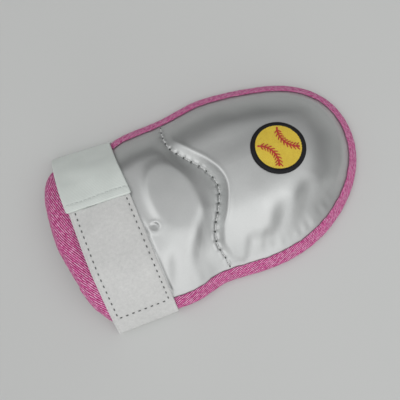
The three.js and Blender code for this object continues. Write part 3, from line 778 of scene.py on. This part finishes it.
def dimpleRise(x, y):
    # pressed disc, deepest at its far right, with a low ring round it
    dimple = armPad["dimple"]
    dx, dy = (x - dimple["x"]) / dimple["radius"], (y - dimple["y"]) / dimple["radius"]
    gap = np.hypot(dx, dy)
    pressed = dimple["depth"] + dimple["lean"][0] * dx + dimple["lean"][1] * dy
    pressed = pressed * (1 - smoothStep((gap - dimple["flat"]) / (1 - dimple["flat"])))
    return dimple["ring"] * bell((gap - dimple["ringAt"]) / dimple["ringWidth"]) - pressed


def armCloth(x, y):
    # lower swell than the elbow's, with the plate, the dimple, soft valleys and a furrow beside the strap
    places = clothPlaces(x, y)
    inside, _, seam, _ = places
    reach = blend(armPad["tapeReach"], armPad["mouthReach"], fade(armPad, "mouth", x))
    hem, swell = seamSewing["hem"] * riseFromTape(inside), armPad["depth"] * smoothStep(inside / reach)
    depth = blend(hem, swell, shoulder(seam / armPad["seamReach"]))
    plate, out = plateRise(x, y)
    depth = folded(armPad, depth + plate + dimpleRise(x, y), x, y)
    furrow = armPad["furrow"]
    beside = bell((x - furrow["x"] - furrow["lean"] * y) / furrow["width"]) * fade(furrow, "furrow", y)
    depth -= furrow["depth"] * beside * smoothStep(inside / tapeRise["settle"])
    still, loose = fade(armPad, "still", x), fade(armPad["plate"], "calm", out)
    return relaxed(armPad, depth, x, y, places, still, loose)


def onCloth(cloth, x, y, height=0.0):
    return onShell(x, y, guardShell["half"] + cloth(x, y) + height)


padGrid = {
    "edgeStep": 1.1, "seamCount": 300, "seamStart": 2.2, "rings": 100, "liningRings": 18, "gather": 1.6,
}


def padPiece(name, pad, cloth, edgeFrom, edgeTo, seam, seamShift):
    # rays from the pad's border to its core: rings of cloth above, then rings of lining below
    at = np.linspace(edgeFrom, edgeTo, int((edgeTo - edgeFrom) / padGrid["edgeStep"]))

    def alongEdge(values):
        closed = np.concatenate([values, values[:1]])
        return alongLine(closed.reshape(len(edgeArc), -1), edgeArc, at)

    flange = edgeTape["flangeEnd"] * np.cos(alongEdge(edgeSlope))
    border = alongEdge(edgeLine) + alongEdge(edgeInward) * flange
    border[[0, -1], 0] += seamShift
    sewn = arcOf(seam)
    reach = np.linspace(padGrid["seamStart"], sewn[-1] - padGrid["seamStart"], padGrid["seamCount"])
    border = np.vstack([border, alongLine(seam, sewn, reach) + np.array([seamShift, 0])])
    core = np.array(pad["core"])

    def inwards(count, gather=1.0):
        share = np.linspace(0, 1, count, endpoint=False) ** gather
        return np.moveaxis(border + (core - border) * share[:, None, None], -1, 0)

    top = onCloth(cloth, *inwards(padGrid["rings"], padGrid["gather"]))
    bottom = onShell(*inwards(padGrid["liningRings"]), -guardShell["half"])
    poles = np.vstack([onCloth(cloth, *core[:, None]), onShell(*core[:, None], -guardShell["half"])])
    rings = np.concatenate([top[::-1], bottom])
    ringFinish = np.concatenate([np.zeros(len(top)), np.ones(len(bottom))])
    return ringPiece(name, rings, [silver, lining], poles, ringFinish=ringFinish)


silver, lining = silverCloth(), liningKnit()
elbowEdgeEnd = arcOf(elbowRun)[-1]
shift = guardPlan["seamGap"] / 2
elbowPiece = padPiece("elbowPad", elbowPad, elbowCloth, 0, elbowEdgeEnd, seamLine, shift)
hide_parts("elbow_pad")
armPiece = padPiece("armPad", armPad, armCloth, elbowEdgeEnd, edgeArc[-1], seamLine[::-1], -shift)
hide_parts("arm_pad")
print("pads shaped:", len(elbowPiece.data.vertices), "and", len(armPiece.data.vertices), "points")

# Seam sewing: light thread bumps on the elbow pad's hem, between near-black spindles of painted shade at the
# needle holes


def seamPlaces(at):
    # points on the hem beside the seam, with the sewing direction and the cloth's normal
    probe, step = seamSewing["probe"], seamSewing["step"]

    def surface(s):
        along = alongLine(seamLine, seamArc, s + probe) - alongLine(seamLine, seamArc, s - probe)
        along = along / np.linalg.norm(along, axis=1, keepdims=True)
        inward = np.stack([-along[:, 1], along[:, 0]], -1)
        x, y = (alongLine(seamLine, seamArc, s) + inward * seamSewing["inset"]).T
        return onCloth(elbowCloth, x, y), shellNormal(x, y)

    point, normal = surface(at)
    return point, surface(at + step)[0] - surface(at - step)[0], normal


holeAt = np.arange(seamSewing["first"], seamArc[-1] - seamSewing["last"], seamSewing["pitch"])
bumpAt = (holeAt[:-1, None] + seamSewing["pitch"] * np.array(seamSewing["bumps"])).ravel()
paleThread = threadFinish("paleThread", (0.80, 0.80, 0.79), (0.62, 0.63, 0.63))
bumps, holes = seamPlaces(bumpAt), seamPlaces(holeAt)
stitchPiece("seamThread", bumps, *seamSewing["bump"], paleThread, "silver_cloth", lift=0.05, bow=0.2)
# painted shade: near-black spindles sunk at the needle holes stand in for the shade inside the holes
needleHoleShade = threadFinish("needleHoleShade", (0.075, 0.080, 0.078), (0.035, 0.038, 0.036), 0.8)
stitchPiece("seamHoleShade", holes, *seamSewing["hole"], needleHoleShade, "silver_cloth", lift=0.12)
print("seam sewn:", len(holeAt), "stitches")

# Edge binding: folded twill tape round the whole rim, with a lapped end at the arm's mouth

binding = {
    "flapSteps": 10, "rollSteps": 14, "innerSteps": 6, "edgeRound": 0.2, "thinFrom": 0.55,
    "waver": 0.32, "wavers": (1 / 67, 1 / 41, 1 / 23), "puff": 0.12, "puffs": (1 / 90, 1 / 57, 1 / 34),
    "lap": (-115.7, -35.3), "lapStep": 0.9, "lapCut": 0.9, "lapLength": 17.0, "lapEase": 9.0, "lapSlant": 0.9,
}


def bindingPiece(finish):
    # U section carried along the edge: flap above, round the rim, flap below, and back inside
    outer, inner, soft, wide = edgeTape["outer"], edgeTape["inner"], binding["edgeRound"], edgeTape["flap"]
    arc = edgeArc[:-1]
    waver = binding["waver"] * ripple(arc / edgeArc[-1], binding["wavers"], 31)
    puff = binding["puff"] * ripple(arc / edgeArc[-1], binding["puffs"], 37)
    lapAt = nearestOn(edgeLine, edgeArc, *np.array(binding["lap"])[:, None], closed=True)[1][0]
    normal = shellNormal(*edgeLine.T)
    middle = onShell(*edgeLine.T, 0)
    out = np.concatenate([-edgeInward * np.cos(edgeSlope)[:, None], -np.sin(edgeSlope)[:, None]], 1)
    sections, around = [], []

    def addFlap(share, offset, v):
        reach = (edgeInset + waver * share)[:, None] * share
        sections.append(onShell(*(edgeLine + edgeInward * reach).T, offset))
        around.append(v)

    def addRoll(angle, radius, v):
        sections.append(middle + (normal * np.cos(angle) + out * np.sin(angle)) * np.reshape(radius, (-1, 1)))
        around.append(v)

    def lap(v):  # raised second layer past the slanting cut end, easing down where the under end stops
        past = arc - lapAt - binding["lapSlant"] * (v - wide)
        eased = 1 - smoothStep((past - binding["lapLength"]) / binding["lapEase"])
        return binding["lapStep"] * smoothStep(past / binding["lapCut"]) * eased

    tip = soft / wide
    flapShares = np.linspace(1, 0, binding["flapSteps"]) * (1 - tip)
    innerShares = np.linspace(1 - tip, 0, binding["innerSteps"])
    for offset, share in ((inner + soft, 1.0), (outer - soft, 1.0), *((outer, s) for s in flapShares)):
        v, upper = wide * (1 - share), offset > inner + soft
        thin = edgeTape["thinEdge"] * smoothStep((share - binding["thinFrom"]) / (1 - binding["thinFrom"]))
        addFlap(share, offset + puff + (lap(v) - thin) * upper, v - (outer - offset))
    for angle in np.linspace(0, np.pi, binding["rollSteps"])[1:-1]:
        v = wide + angle * outer
        addRoll(angle, outer + puff + lap(v), v)
    v = wide + np.pi * outer
    for share in flapShares[::-1]:
        addFlap(share, -outer, v + wide * share)
    v += wide
    for offset, share in ((-outer + soft, 1.0), (-inner - soft, 1.0), *((-inner, s) for s in innerShares)):
        addFlap(share, offset, v + wide * (1 - share))
    for angle in np.linspace(np.pi, 0, binding["innerSteps"] + 2)[1:-1]:
        addRoll(angle, inner, v + wide)
    for share in innerShares[::-1]:
        addFlap(share, inner, v + wide * (1 + share))
    strip = np.stack(np.meshgrid(edgeArc, np.append(around, around[-1] + 1), indexing="ij"), -1)
    strip[..., 1] *= (np.append(edgeFlap, edgeFlap[0]) / wide)[:, None]
    return ringPiece("edgeBinding", np.stack(sections, 1), [finish], uv=strip)


bindingObject = bindingPiece(pinkTwill())
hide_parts("edge_binding")
print("binding wrapped:", len(bindingObject.data.vertices), "points")

# Strap round the arm end: loop band below, hook tab gripped on it, elastic across the open side

strap = {
    "thick": 1.3, "gap": 0.2, "seat": 0.6, "droop": 3.6, "edgeRound": 0.9, "edgeThin": 0.03, "ease": 60,
    "across": 60, "crowd": 0.35, "rollRows": 22, "rollStart": 0.08, "underRows": 14, "joinEase": 3,
    "rowStep": 0.9, "endRows": (0, 0.12, 0.35, 0.7), "endStep": 1.2, "standFrom": 20.0, "standOver": 45.0,
}
loopBand = {
    # y, x of its middle line
    "width": 47.8, "centre": [(-76, -83.6), (-50, -84.2), (11.5, -86.6), (18, -88.2), (40, -89.6)],
    "rim": (-76.0, -76.7), "farY": 40.0, "underY": -50.0, "tilt": 0.06, "tiltOver": 60.0,
    "panelLeft": 3.4, "panelRight": 2.2, "panelY": -72.6, "panelThick": 0.45, "slack": 0.22,
    "sewLeft": 4.7, "sewRight": 3.5, "sewY": -70.6, "groove": 0.4, "pitch": 4.8, "dash": (2.1, 0.5),
    "edgeFurrow": 0.45, "furrowAt": 2.1, "furrowWidth": 0.55,
}
hookTab = {
    "width": 50.6, "centre": [(10.1, -86.6), (63.6, -90.2)],
    "rim": (68.0, 65.9), "endY": 10.1, "underY": 48.0, "tilt": 0.06, "rampY": 24.0, "corner": 1.6,
    "hem": 6.2, "hemThick": 0.25, "hemDip": 0.4, "slack": 0.15, "pitch": 3.4, "dash": (2.7, 0.32),
}
elasticRun = {
    "width": 47.8, "centre": [(-60, -83.9), (58, -90.1)], "lap": 10.0, "ribs": 0.18, "ribPitch": 2.6,
}


def centreX(band, y):
    return np.interp(y, *np.transpose(band["centre"]))


def acrossSteps(band):
    # places across the strap, closer together at its two edges
    t = np.linspace(-1, 1, strap["across"])
    return blend(t, np.sin(t * np.pi / 2), strap["crowd"]) * band["width"] / 2


def rimOf(band):
    # which way is out, the rail on that side, and the y of the turn for each place across the strap
    half = band["width"] / 2
    outward, rail = (-1, 1) if band["rim"][0] < 0 else (1, 2)
    return outward, rail, np.interp(acrossSteps(band), (-half, half), band["rim"])


def easeRows(grid):
    # in place: each row drawn half way to the middle of its neighbours, the first and the last held
    grid[1:-1] = grid[1:-1] / 2 + (grid[:-2] + grid[2:]) / 4


def seatedRows(band, y, lift, tilt):
    # the strap lies on the pad, nearly flat across: no part hangs lower than the droop under its highest seat
    across = acrossSteps(band)
    outward, rail, rimY = rimOf(band)
    x = centreX(band, y)[:, None] + across[None]
    yy = y[:, None] - across[None] * tilt[:, None]
    # how far the strap's rim stands out from the guard's
    stands = (rimY - railAt(x, rail)) * fade(strap, "stand", outward * yy)
    seats = np.maximum(guardShell["half"] + armCloth(x, yy - stands), edgeTape["outer"]) + strap["seat"]
    bottom = np.maximum(seats, seats.max(1, keepdims=True) - strap["droop"])
    for _ in range(strap["ease"]):  # drawn taut: dents and kinks of what lies under it are bridged
        easeRows(bottom)
        easeRows(bottom.T)
    middle = onShell(x, yy - stands, bottom + lift[:, None] + strap["thick"] / 2)
    middle[..., 1] += stands
    return middle, shellNormal(x, yy - stands)


def rolledRows(band, shares):
    # quarter turns round the rim: the strap leaves the tape's outer face and comes in flat below it
    outward, rail, rimY = rimOf(band)
    x = centreX(band, rimY.mean()) + acrossSteps(band)
    radius = edgeTape["outer"] + strap["gap"] + strap["thick"] / 2
    normal = shellNormal(x.mean(), railAt(x.mean(), rail))
    lean = np.arctan2(outward * normal[1], normal[2])
    angle = blend(lean, np.pi, shares)[:, None] + 0 * x
    up = np.stack([0 * angle, outward * np.sin(angle), np.cos(angle)], -1)
    turned = np.stack([x, rimY, np.full_like(x, edgeTape["outer"] + guardShell["lift"])], -1)
    return turned + up * radius, up


def rimTilt(band):
    return (band["rim"][0] - band["rim"][1]) / band["width"]


def tiltAlong(band, share):
    # slant of the rows: the rim's own at the rim, the band's further in
    return blend(rimTilt(band), band["tilt"], smoothStep(share))


def flatRows(band, y, base, tilt=0.0):
    across = acrossSteps(band)[None]
    x = centreX(band, y)[:, None] + across
    yy = y[:, None] - across * np.reshape(tilt, (-1, 1))
    middle = np.stack([x, yy, np.full(x.shape, base + strap["thick"] / 2)], -1)
    return middle, np.broadcast_to(np.array([0.0, 0.0, -1.0]), middle.shape)


def bandRows(*runs):
    # joins the runs into one grid of middle points and normals, eases their meeting, spaces the rows evenly
    middle, up = (np.concatenate(grids) for grids in zip(*runs))
    for _ in range(strap["joinEase"]):
        easeRows(middle)
        easeRows(up)
    arc = arcOf(middle[:, strap["across"] // 2])
    close = np.array(strap["endRows"])
    even = np.linspace(strap["endStep"], arc[-1] - strap["endStep"], int(arc[-1] / strap["rowStep"]))
    at = np.concatenate([close, even, arc[-1] - close[::-1]])
    i = np.clip(np.searchsorted(arc, at, side="right") - 1, 0, len(arc) - 2)
    t = ((at - arc[i]) / (arc[i + 1] - arc[i]))[:, None, None]
    middle, up = (blend(grid[i], grid[i + 1], t) for grid in (middle, up))
    return {"middle": middle, "up": up / np.linalg.norm(up, axis=-1, keepdims=True), "arc": at}


def bandPiece(name, band, rows, finish, relief, cornerEnd=0.0):
    # flat section with rounded edges carried along the rows; relief lifts the outer face, end corners are cut
    across = acrossSteps(band)
    arc, half = rows["arc"], strap["thick"] / 2
    ends = np.minimum(arc, arc[-1] - arc)
    fromSide = band["width"] / 2 - np.abs(across)

    def rounded(gap):
        return np.sqrt(np.maximum(shoulder(gap / strap["edgeRound"]), strap["edgeThin"]))

    body = np.minimum(rounded(ends)[:, None], rounded(fromSide)[None])
    middle = rows["middle"].copy()
    toCorner = np.maximum(cornerEnd - (arc[-1] - arc), 0)
    cut = cornerEnd - np.sqrt(np.maximum(cornerEnd ** 2 - toCorner ** 2, 0))
    middle[..., 0] -= across[None] * (cut / (band["width"] / 2))[:, None]
    top = middle + rows["up"] * ((half + relief * body) * body)[..., None]
    bottom = middle - rows["up"] * (half * body)[..., None]
    rings = np.concatenate([top, bottom[:, ::-1]], 1)
    around = np.concatenate([across, across[::-1] + 0.5, across[:1]])
    strip = np.stack(np.meshgrid(np.append(arc, arc[-1]), around, indexing="ij")[::-1], -1)
    rows["top"] = top
    return ringPiece(name, rings, [finish], endPoles(middle), uv=strip)


def onBand(band, rows, arc, across):
    # place, direction along, direction across and normal on a band's outer face
    steps = acrossSteps(band)
    r = np.clip(np.interp(arc, rows["arc"], np.arange(len(rows["arc"]))), 0, len(rows["arc"]) - 1.001)
    k = np.clip(np.interp(across, steps, np.arange(len(steps))), 0, len(steps) - 1.001)
    ri, ki = r.astype(int), k.astype(int)
    rt, kt = (r - ri)[:, None], (k - ki)[:, None]
    grid = rows["top"]
    a, b, c, d = grid[ri, ki], grid[ri + 1, ki], grid[ri, ki + 1], grid[ri + 1, ki + 1]
    return blend(blend(a, b, rt), blend(c, d, rt), kt), b - a, c - a, rows["up"][ri, ki]


def arcAtY(rows, y):
    # arc length at which the upper run of a band crosses y
    line = rows["middle"][:, strap["across"] // 2]
    upper = line[:, 2] > edgeTape["outer"] * 2
    order = np.argsort(line[upper, 1])
    return np.interp(y, line[upper, 1][order], rows["arc"][upper][order])


rollShares = np.linspace(strap["rollStart"], 1, strap["rollRows"])
nearY, farY = np.mean(loopBand["rim"]), np.mean(hookTab["rim"])
rowY = np.linspace(loopBand["farY"], nearY + 0.5, 120)
rowTilt = tiltAlong(loopBand, (rowY - nearY) / loopBand["tiltOver"])
underY = np.linspace(nearY, loopBand["underY"], strap["underRows"])[1:]
underTilt = rimTilt(loopBand) * np.linspace(1, 0, len(underY))
loopRows = bandRows(
    seatedRows(loopBand, rowY, np.zeros_like(rowY), rowTilt), rolledRows(loopBand, rollShares),
    flatRows(loopBand, underY, 0, underTilt),
)


def loopRelief():
    # brushed panel a little proud of its base tape, pressed down along the sewing and slightly uneven
    across, arc = acrossSteps(loopBand)[None], loopRows["arc"][:, None]
    endArcAt, sewArcAt = arcAtY(loopRows, loopBand["panelY"]), arcAtY(loopRows, loopBand["sewY"])
    left, right = across + loopBand["width"] / 2, loopBand["width"] / 2 - across
    inside = np.minimum(left - loopBand["panelLeft"], right - loopBand["panelRight"])
    inside = np.minimum(inside, endArcAt - arc)
    panel = loopBand["panelThick"] * smoothStep(inside / 0.8 + 0.5)
    sides = np.minimum(np.abs(left - loopBand["sewLeft"]), np.abs(right - loopBand["sewRight"]))
    beyond = (left < loopBand["sewLeft"]) | (right < loopBand["sewRight"])
    sewn = np.minimum(sides + 9 * (arc > sewArcAt), np.abs(arc - sewArcAt) + 9 * beyond)
    slack = loopBand["slack"] * ripple(arc + 0.3 * across, (19, 33, 46), 41) * smoothStep(inside / 6)
    furrow = loopBand["edgeFurrow"] * bell((left - loopBand["furrowAt"]) / loopBand["furrowWidth"])
    return panel + slack - loopBand["groove"] * bell(sewn) - furrow


loopObject = bandPiece("loopBand", loopBand, loopRows, loopPile(), loopRelief())
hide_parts("loop_band")

tabY = np.linspace(farY - 0.5, hookTab["endY"], 60)
tabUnder = np.linspace(hookTab["underY"], farY, strap["underRows"])[:-1]
grip = strap["thick"] + strap["gap"] + loopBand["panelThick"]
tabLift = grip * smoothStep((loopBand["farY"] + hookTab["rampY"] - tabY) / hookTab["rampY"])
tabTilt = tiltAlong(hookTab, (farY - tabY) / (farY - hookTab["endY"]))
tabRows = bandRows(
    flatRows(hookTab, tabUnder, 0, rimTilt(hookTab) * np.linspace(0, 1, len(tabUnder))),
    rolledRows(hookTab, rollShares[::-1]), seatedRows(hookTab, tabY, tabLift, tabTilt),
)


def tabRelief():
    # turned hem at the free end, with a shallow furrow where it is sewn, and faint unevenness
    across, arc = acrossSteps(hookTab)[None], tabRows["arc"][:, None]
    fromHem = hookTab["hem"] - (tabRows["arc"][-1] - arc)
    hem = hookTab["hemThick"] * smoothStep(fromHem / 1.2 + 0.5) - hookTab["hemDip"] * bell(fromHem / 0.9)
    return hem + hookTab["slack"] * ripple(arc - 0.2 * across, (17, 29, 41), 43)


# pale tape colours with a slight green tint, a painted reflection of green light bounced up from below
tabFinish = ribbedTape("hookBacking", (0.790, 0.842, 0.805), (0.695, 0.744, 0.709), 1.2, 0.65)
tabObject = bandPiece("hookTab", hookTab, tabRows, tabFinish, tabRelief(), hookTab["corner"])
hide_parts("hook_tab")

elasticY = np.linspace(loopBand["underY"] - elasticRun["lap"], hookTab["underY"] + elasticRun["lap"], 80)
elasticRows = bandRows(flatRows(elasticRun, elasticY, strap["thick"] + strap["gap"]))
ribWave = np.cos(2 * np.pi * acrossSteps(elasticRun) / elasticRun["ribPitch"]) - 1
elasticRelief = np.broadcast_to(elasticRun["ribs"] * ribWave, elasticRows["middle"].shape[:2])
elasticFinish = ribbedTape("elasticWeb", (0.70, 0.70, 0.69), (0.58, 0.58, 0.57), 1.0, 0.8)
elasticObject = bandPiece("elasticStrap", elasticRun, elasticRows, elasticFinish, elasticRelief)
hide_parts("elastic_strap")
print("strap laid: loop band, hook tab and elastic")

# Strap sewing: dashes down both sides of the loop panel, across its near end and along the tab's hem


def sewnRow(band, rows, arcs, across, direction):
    arcs, across = np.broadcast_arrays(arcs, across)
    place, along, side, up = onBand(band, rows, arcs, across)
    return place, (along if direction == "along" else side), up


sewEnd = arcAtY(loopRows, loopBand["sewY"])
sideArcs = np.arange(2.0, sewEnd, loopBand["pitch"])
leftAt, rightAt = loopBand["sewLeft"] - loopBand["width"] / 2, loopBand["width"] / 2 - loopBand["sewRight"]
crossAt = np.arange(leftAt + 2, rightAt, loopBand["pitch"])
sewing = [
    sewnRow(loopBand, loopRows, sideArcs, leftAt, "along"),
    sewnRow(loopBand, loopRows, sideArcs + 1.3, rightAt, "along"),
    sewnRow(loopBand, loopRows, sewEnd, crossAt, "across"),
]
sewing = [np.concatenate(column) for column in zip(*sewing)]
greyThread = threadFinish("greyThread", (0.17, 0.18, 0.175), (0.08, 0.085, 0.082), 0.7)
stitchPiece("strapStitches", sewing, *loopBand["dash"], greyThread, "loop_tape", lift=0.1, bow=0.12)
hemAt = np.arange(-hookTab["width"] / 2 + 3, hookTab["width"] / 2 - 2, hookTab["pitch"])
hemRow = sewnRow(hookTab, tabRows, tabRows["arc"][-1] - hookTab["hem"], hemAt, "across")
tabThread = threadFinish("tabThread", (0.66, 0.69, 0.67), (0.50, 0.54, 0.52))
stitchPiece("tabStitches", hemRow, *hookTab["dash"], tabThread, "hook_tape", lift=0.1, bow=0.1)
print("strap sewn")

# Round embroidered badge with a ball: overcast rim, stitched field and two curved seams

badge = {
    "x": 53.0, "y": 2.3, "radiusX": 21.0, "radiusY": 20.0, "turn": 24.0, "seatGap": 0.3,
    "rimWidth": 4.0, "rimHeight": 1.5, "rimFoot": 0.25, "wraps": 186, "wrapHeight": 0.16, "wrapSlant": 1.6,
    "fieldHeight": 1.05, "fieldFoot": 0.1, "fieldDome": 0.25, "fieldUnder": 0.6, "fieldEnd": 0.999,
    "rowPitch": 0.6, "rowHeight": 0.16, "rowRound": 0.7,
    "stitch": 6.4, "stitchDip": 0.14, "stitchGap": 0.45, "stitchShift": 0.37,
    "seamOffset": 19.5, "seamRadius": 13.5, "seamSpread": 52.0, "seamWidth": 1.5, "seamHeight": 0.55,
    "seamFoot": 0.15, "seamWrap": 0.1, "seamPitch": 0.7,
    "barbs": 9, "barbFrom": 0.3, "barbTo": 2.592, "barbSlant": 0.16, "barbHeight": 0.35,
    "barbOver": 0.6, "barbRadius": 0.5,
}


def onBadge(a, b, height):
    # badge plane to cloth: turned, placed on the elbow pad and raised above its cloth
    turn = np.radians(badge["turn"])
    x = badge["x"] + a * np.cos(turn) - b * np.sin(turn)
    y = badge["y"] + a * np.sin(turn) + b * np.cos(turn)
    return onCloth(elbowCloth, x, y, badge["seatGap"] + height)


def badgeCord(a, b, top, foot):
    # section closed below by a flat face at the height of its foot
    return np.concatenate([onBadge(a, b, top), onBadge(a[:, [-1, 0]], b[:, [-1, 0]], foot)], 1)


def badgeRim(finish):
    # half-round section swept round an ellipse, its face rippled by slanting overcast wraps
    around = np.linspace(0, 2 * np.pi, badge["wraps"] * 5, endpoint=False)
    theta, s = np.meshgrid(around, np.linspace(0, np.pi, 13), indexing="ij")
    wrap = np.abs(np.sin((badge["wraps"] * theta + badge["wrapSlant"] * np.cos(s)) / 2))
    reach = -np.cos(s) * badge["rimWidth"] / 2
    middle = 1 - badge["rimWidth"] / 2 / badge["radiusX"]
    a = np.cos(theta) * (badge["radiusX"] * middle + reach)
    b = np.sin(theta) * (badge["radiusY"] * middle + reach)
    top = np.sin(s) * (badge["rimHeight"] + badge["wrapHeight"] * wrap) + badge["rimFoot"]
    ringPiece("badgeRim", badgeCord(a, b, top, 0.0), [finish])


def badgeField(finish):
    # rows of parallel stitches: ridges across one way, broken along the other in a brick pattern
    under, end = badge["rimWidth"] * badge["fieldUnder"], badge["fieldEnd"]
    radiusA, radiusB = badge["radiusX"] - under, badge["radiusY"] - under
    a = (np.linspace(-end, end, 330) * radiusA)[:, None]
    chord = radiusB * np.sqrt(1 - (a / radiusA) ** 2)
    b, low = chord * np.linspace(-1, 1, 56), chord * np.linspace(1, -1, 8)
    row = np.floor(a / badge["rowPitch"])
    ridge = badge["rowHeight"] * np.abs(np.sin(np.pi * a / badge["rowPitch"])) ** badge["rowRound"]
    gap = (b + row * badge["stitch"] * badge["stitchShift"]) % badge["stitch"] - badge["stitch"] / 2
    height = badge["fieldHeight"] + ridge - badge["stitchDip"] * bell(gap / badge["stitchGap"])
    height = height + badge["fieldDome"] * (1 - (a / radiusA) ** 2)
    top, bottom = onBadge(a + 0 * b, b, height), onBadge(a + 0 * low, low, badge["fieldFoot"])
    rings = np.concatenate([top, bottom], 1)
    return ringPiece("badgeField", rings, [finish], endPoles(rings))


def badgeSeams(finish):
    # two arcs bowed towards each other, each a low cord with slanting barbs at both sides
    spread, field, radius = np.radians(badge["seamSpread"]), badge["fieldHeight"], badge["seamRadius"]
    theta, s = np.meshgrid(np.linspace(-spread, spread, 150), np.linspace(0, np.pi, 9), indexing="ij")
    wrap = badge["seamWrap"] * np.abs(np.sin(theta * radius * np.pi / badge["seamPitch"]))
    top = field + badge["seamFoot"] + np.sin(s) * (badge["seamHeight"] + wrap)
    barbAt = np.linspace(-spread, spread, badge["barbs"] + 2)[1:-1]
    barbs = []

    def onArc(side, reach, angle):
        return side * (badge["seamOffset"] - reach * np.cos(angle)), reach * np.sin(angle)

    for side, name in ((-1, "badgeSeamLeft"), (1, "badgeSeamRight")):
        a, b = onArc(side, radius - np.cos(s) * badge["seamWidth"] / 2, theta)
        rings = badgeCord(a, b, top, field - 0.1)
        ringPiece(name, rings, [finish], endPoles(rings))
        for slant in (-1, 1):
            ends = (badge["barbFrom"], barbAt), (badge["barbTo"], barbAt - badge["barbSlant"])
            barbs.append([
                onBadge(*onArc(side, radius + slant * out, angle), field + badge["barbHeight"])
                for out, angle in ends
            ])
    start, stop = (np.concatenate(points) for points in zip(*barbs))
    along, centre = stop - start, np.zeros(len(start))
    up = onBadge(centre, centre, 5.0) - onBadge(centre, centre, 0.0)
    sizes = np.linalg.norm(along, axis=1) + badge["barbOver"], badge["barbRadius"]
    places = (start + stop) / 2, along, up
    stitchPiece("badgeBarbs", places, *sizes, finish, "badge_thread", bow=0.2, sides=8, steps=7)


badgeRim(threadFinish("blackThread", (0.016, 0.016, 0.019), (0.006, 0.006, 0.008), 0.55, 0.0, 0.22))
fieldObject = badgeField(threadFinish("yellowThread", (0.830, 0.640, 0.060), (0.690, 0.470, 0.030), 0.42))
badgeSeams(threadFinish("redThread", (0.600, 0.050, 0.020), (0.400, 0.020, 0.012), 0.42))
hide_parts("emblem_badge")
print("badge stitched")

# Plain pale floor just under the guard


def addFloor():
    cells, half = studio["floorCells"], studio["floor"] / 2
    t = np.linspace(-half, half, cells + 1)
    x, y = np.meshgrid(t, t, indexing="ij")
    points = np.stack([x, y, np.full_like(x, -studio["floorDrop"] * mm)], -1).reshape(-1, 3)
    i, j = np.meshgrid(np.arange(cells), np.arange(cells), indexing="ij")
    faces = quadsOf(((i, j), (i + 1, j), (i + 1, j + 1), (i, j + 1)), cells + 1)
    mesh = bpy.data.meshes.new("floor")
    mesh.from_pydata(points.tolist(), [], faces.tolist())
    mesh.materials.append(paleFloor())
    floor = bpy.data.objects.new("floor", mesh)
    bpy.context.scene.collection.objects.link(floor)


addFloor()
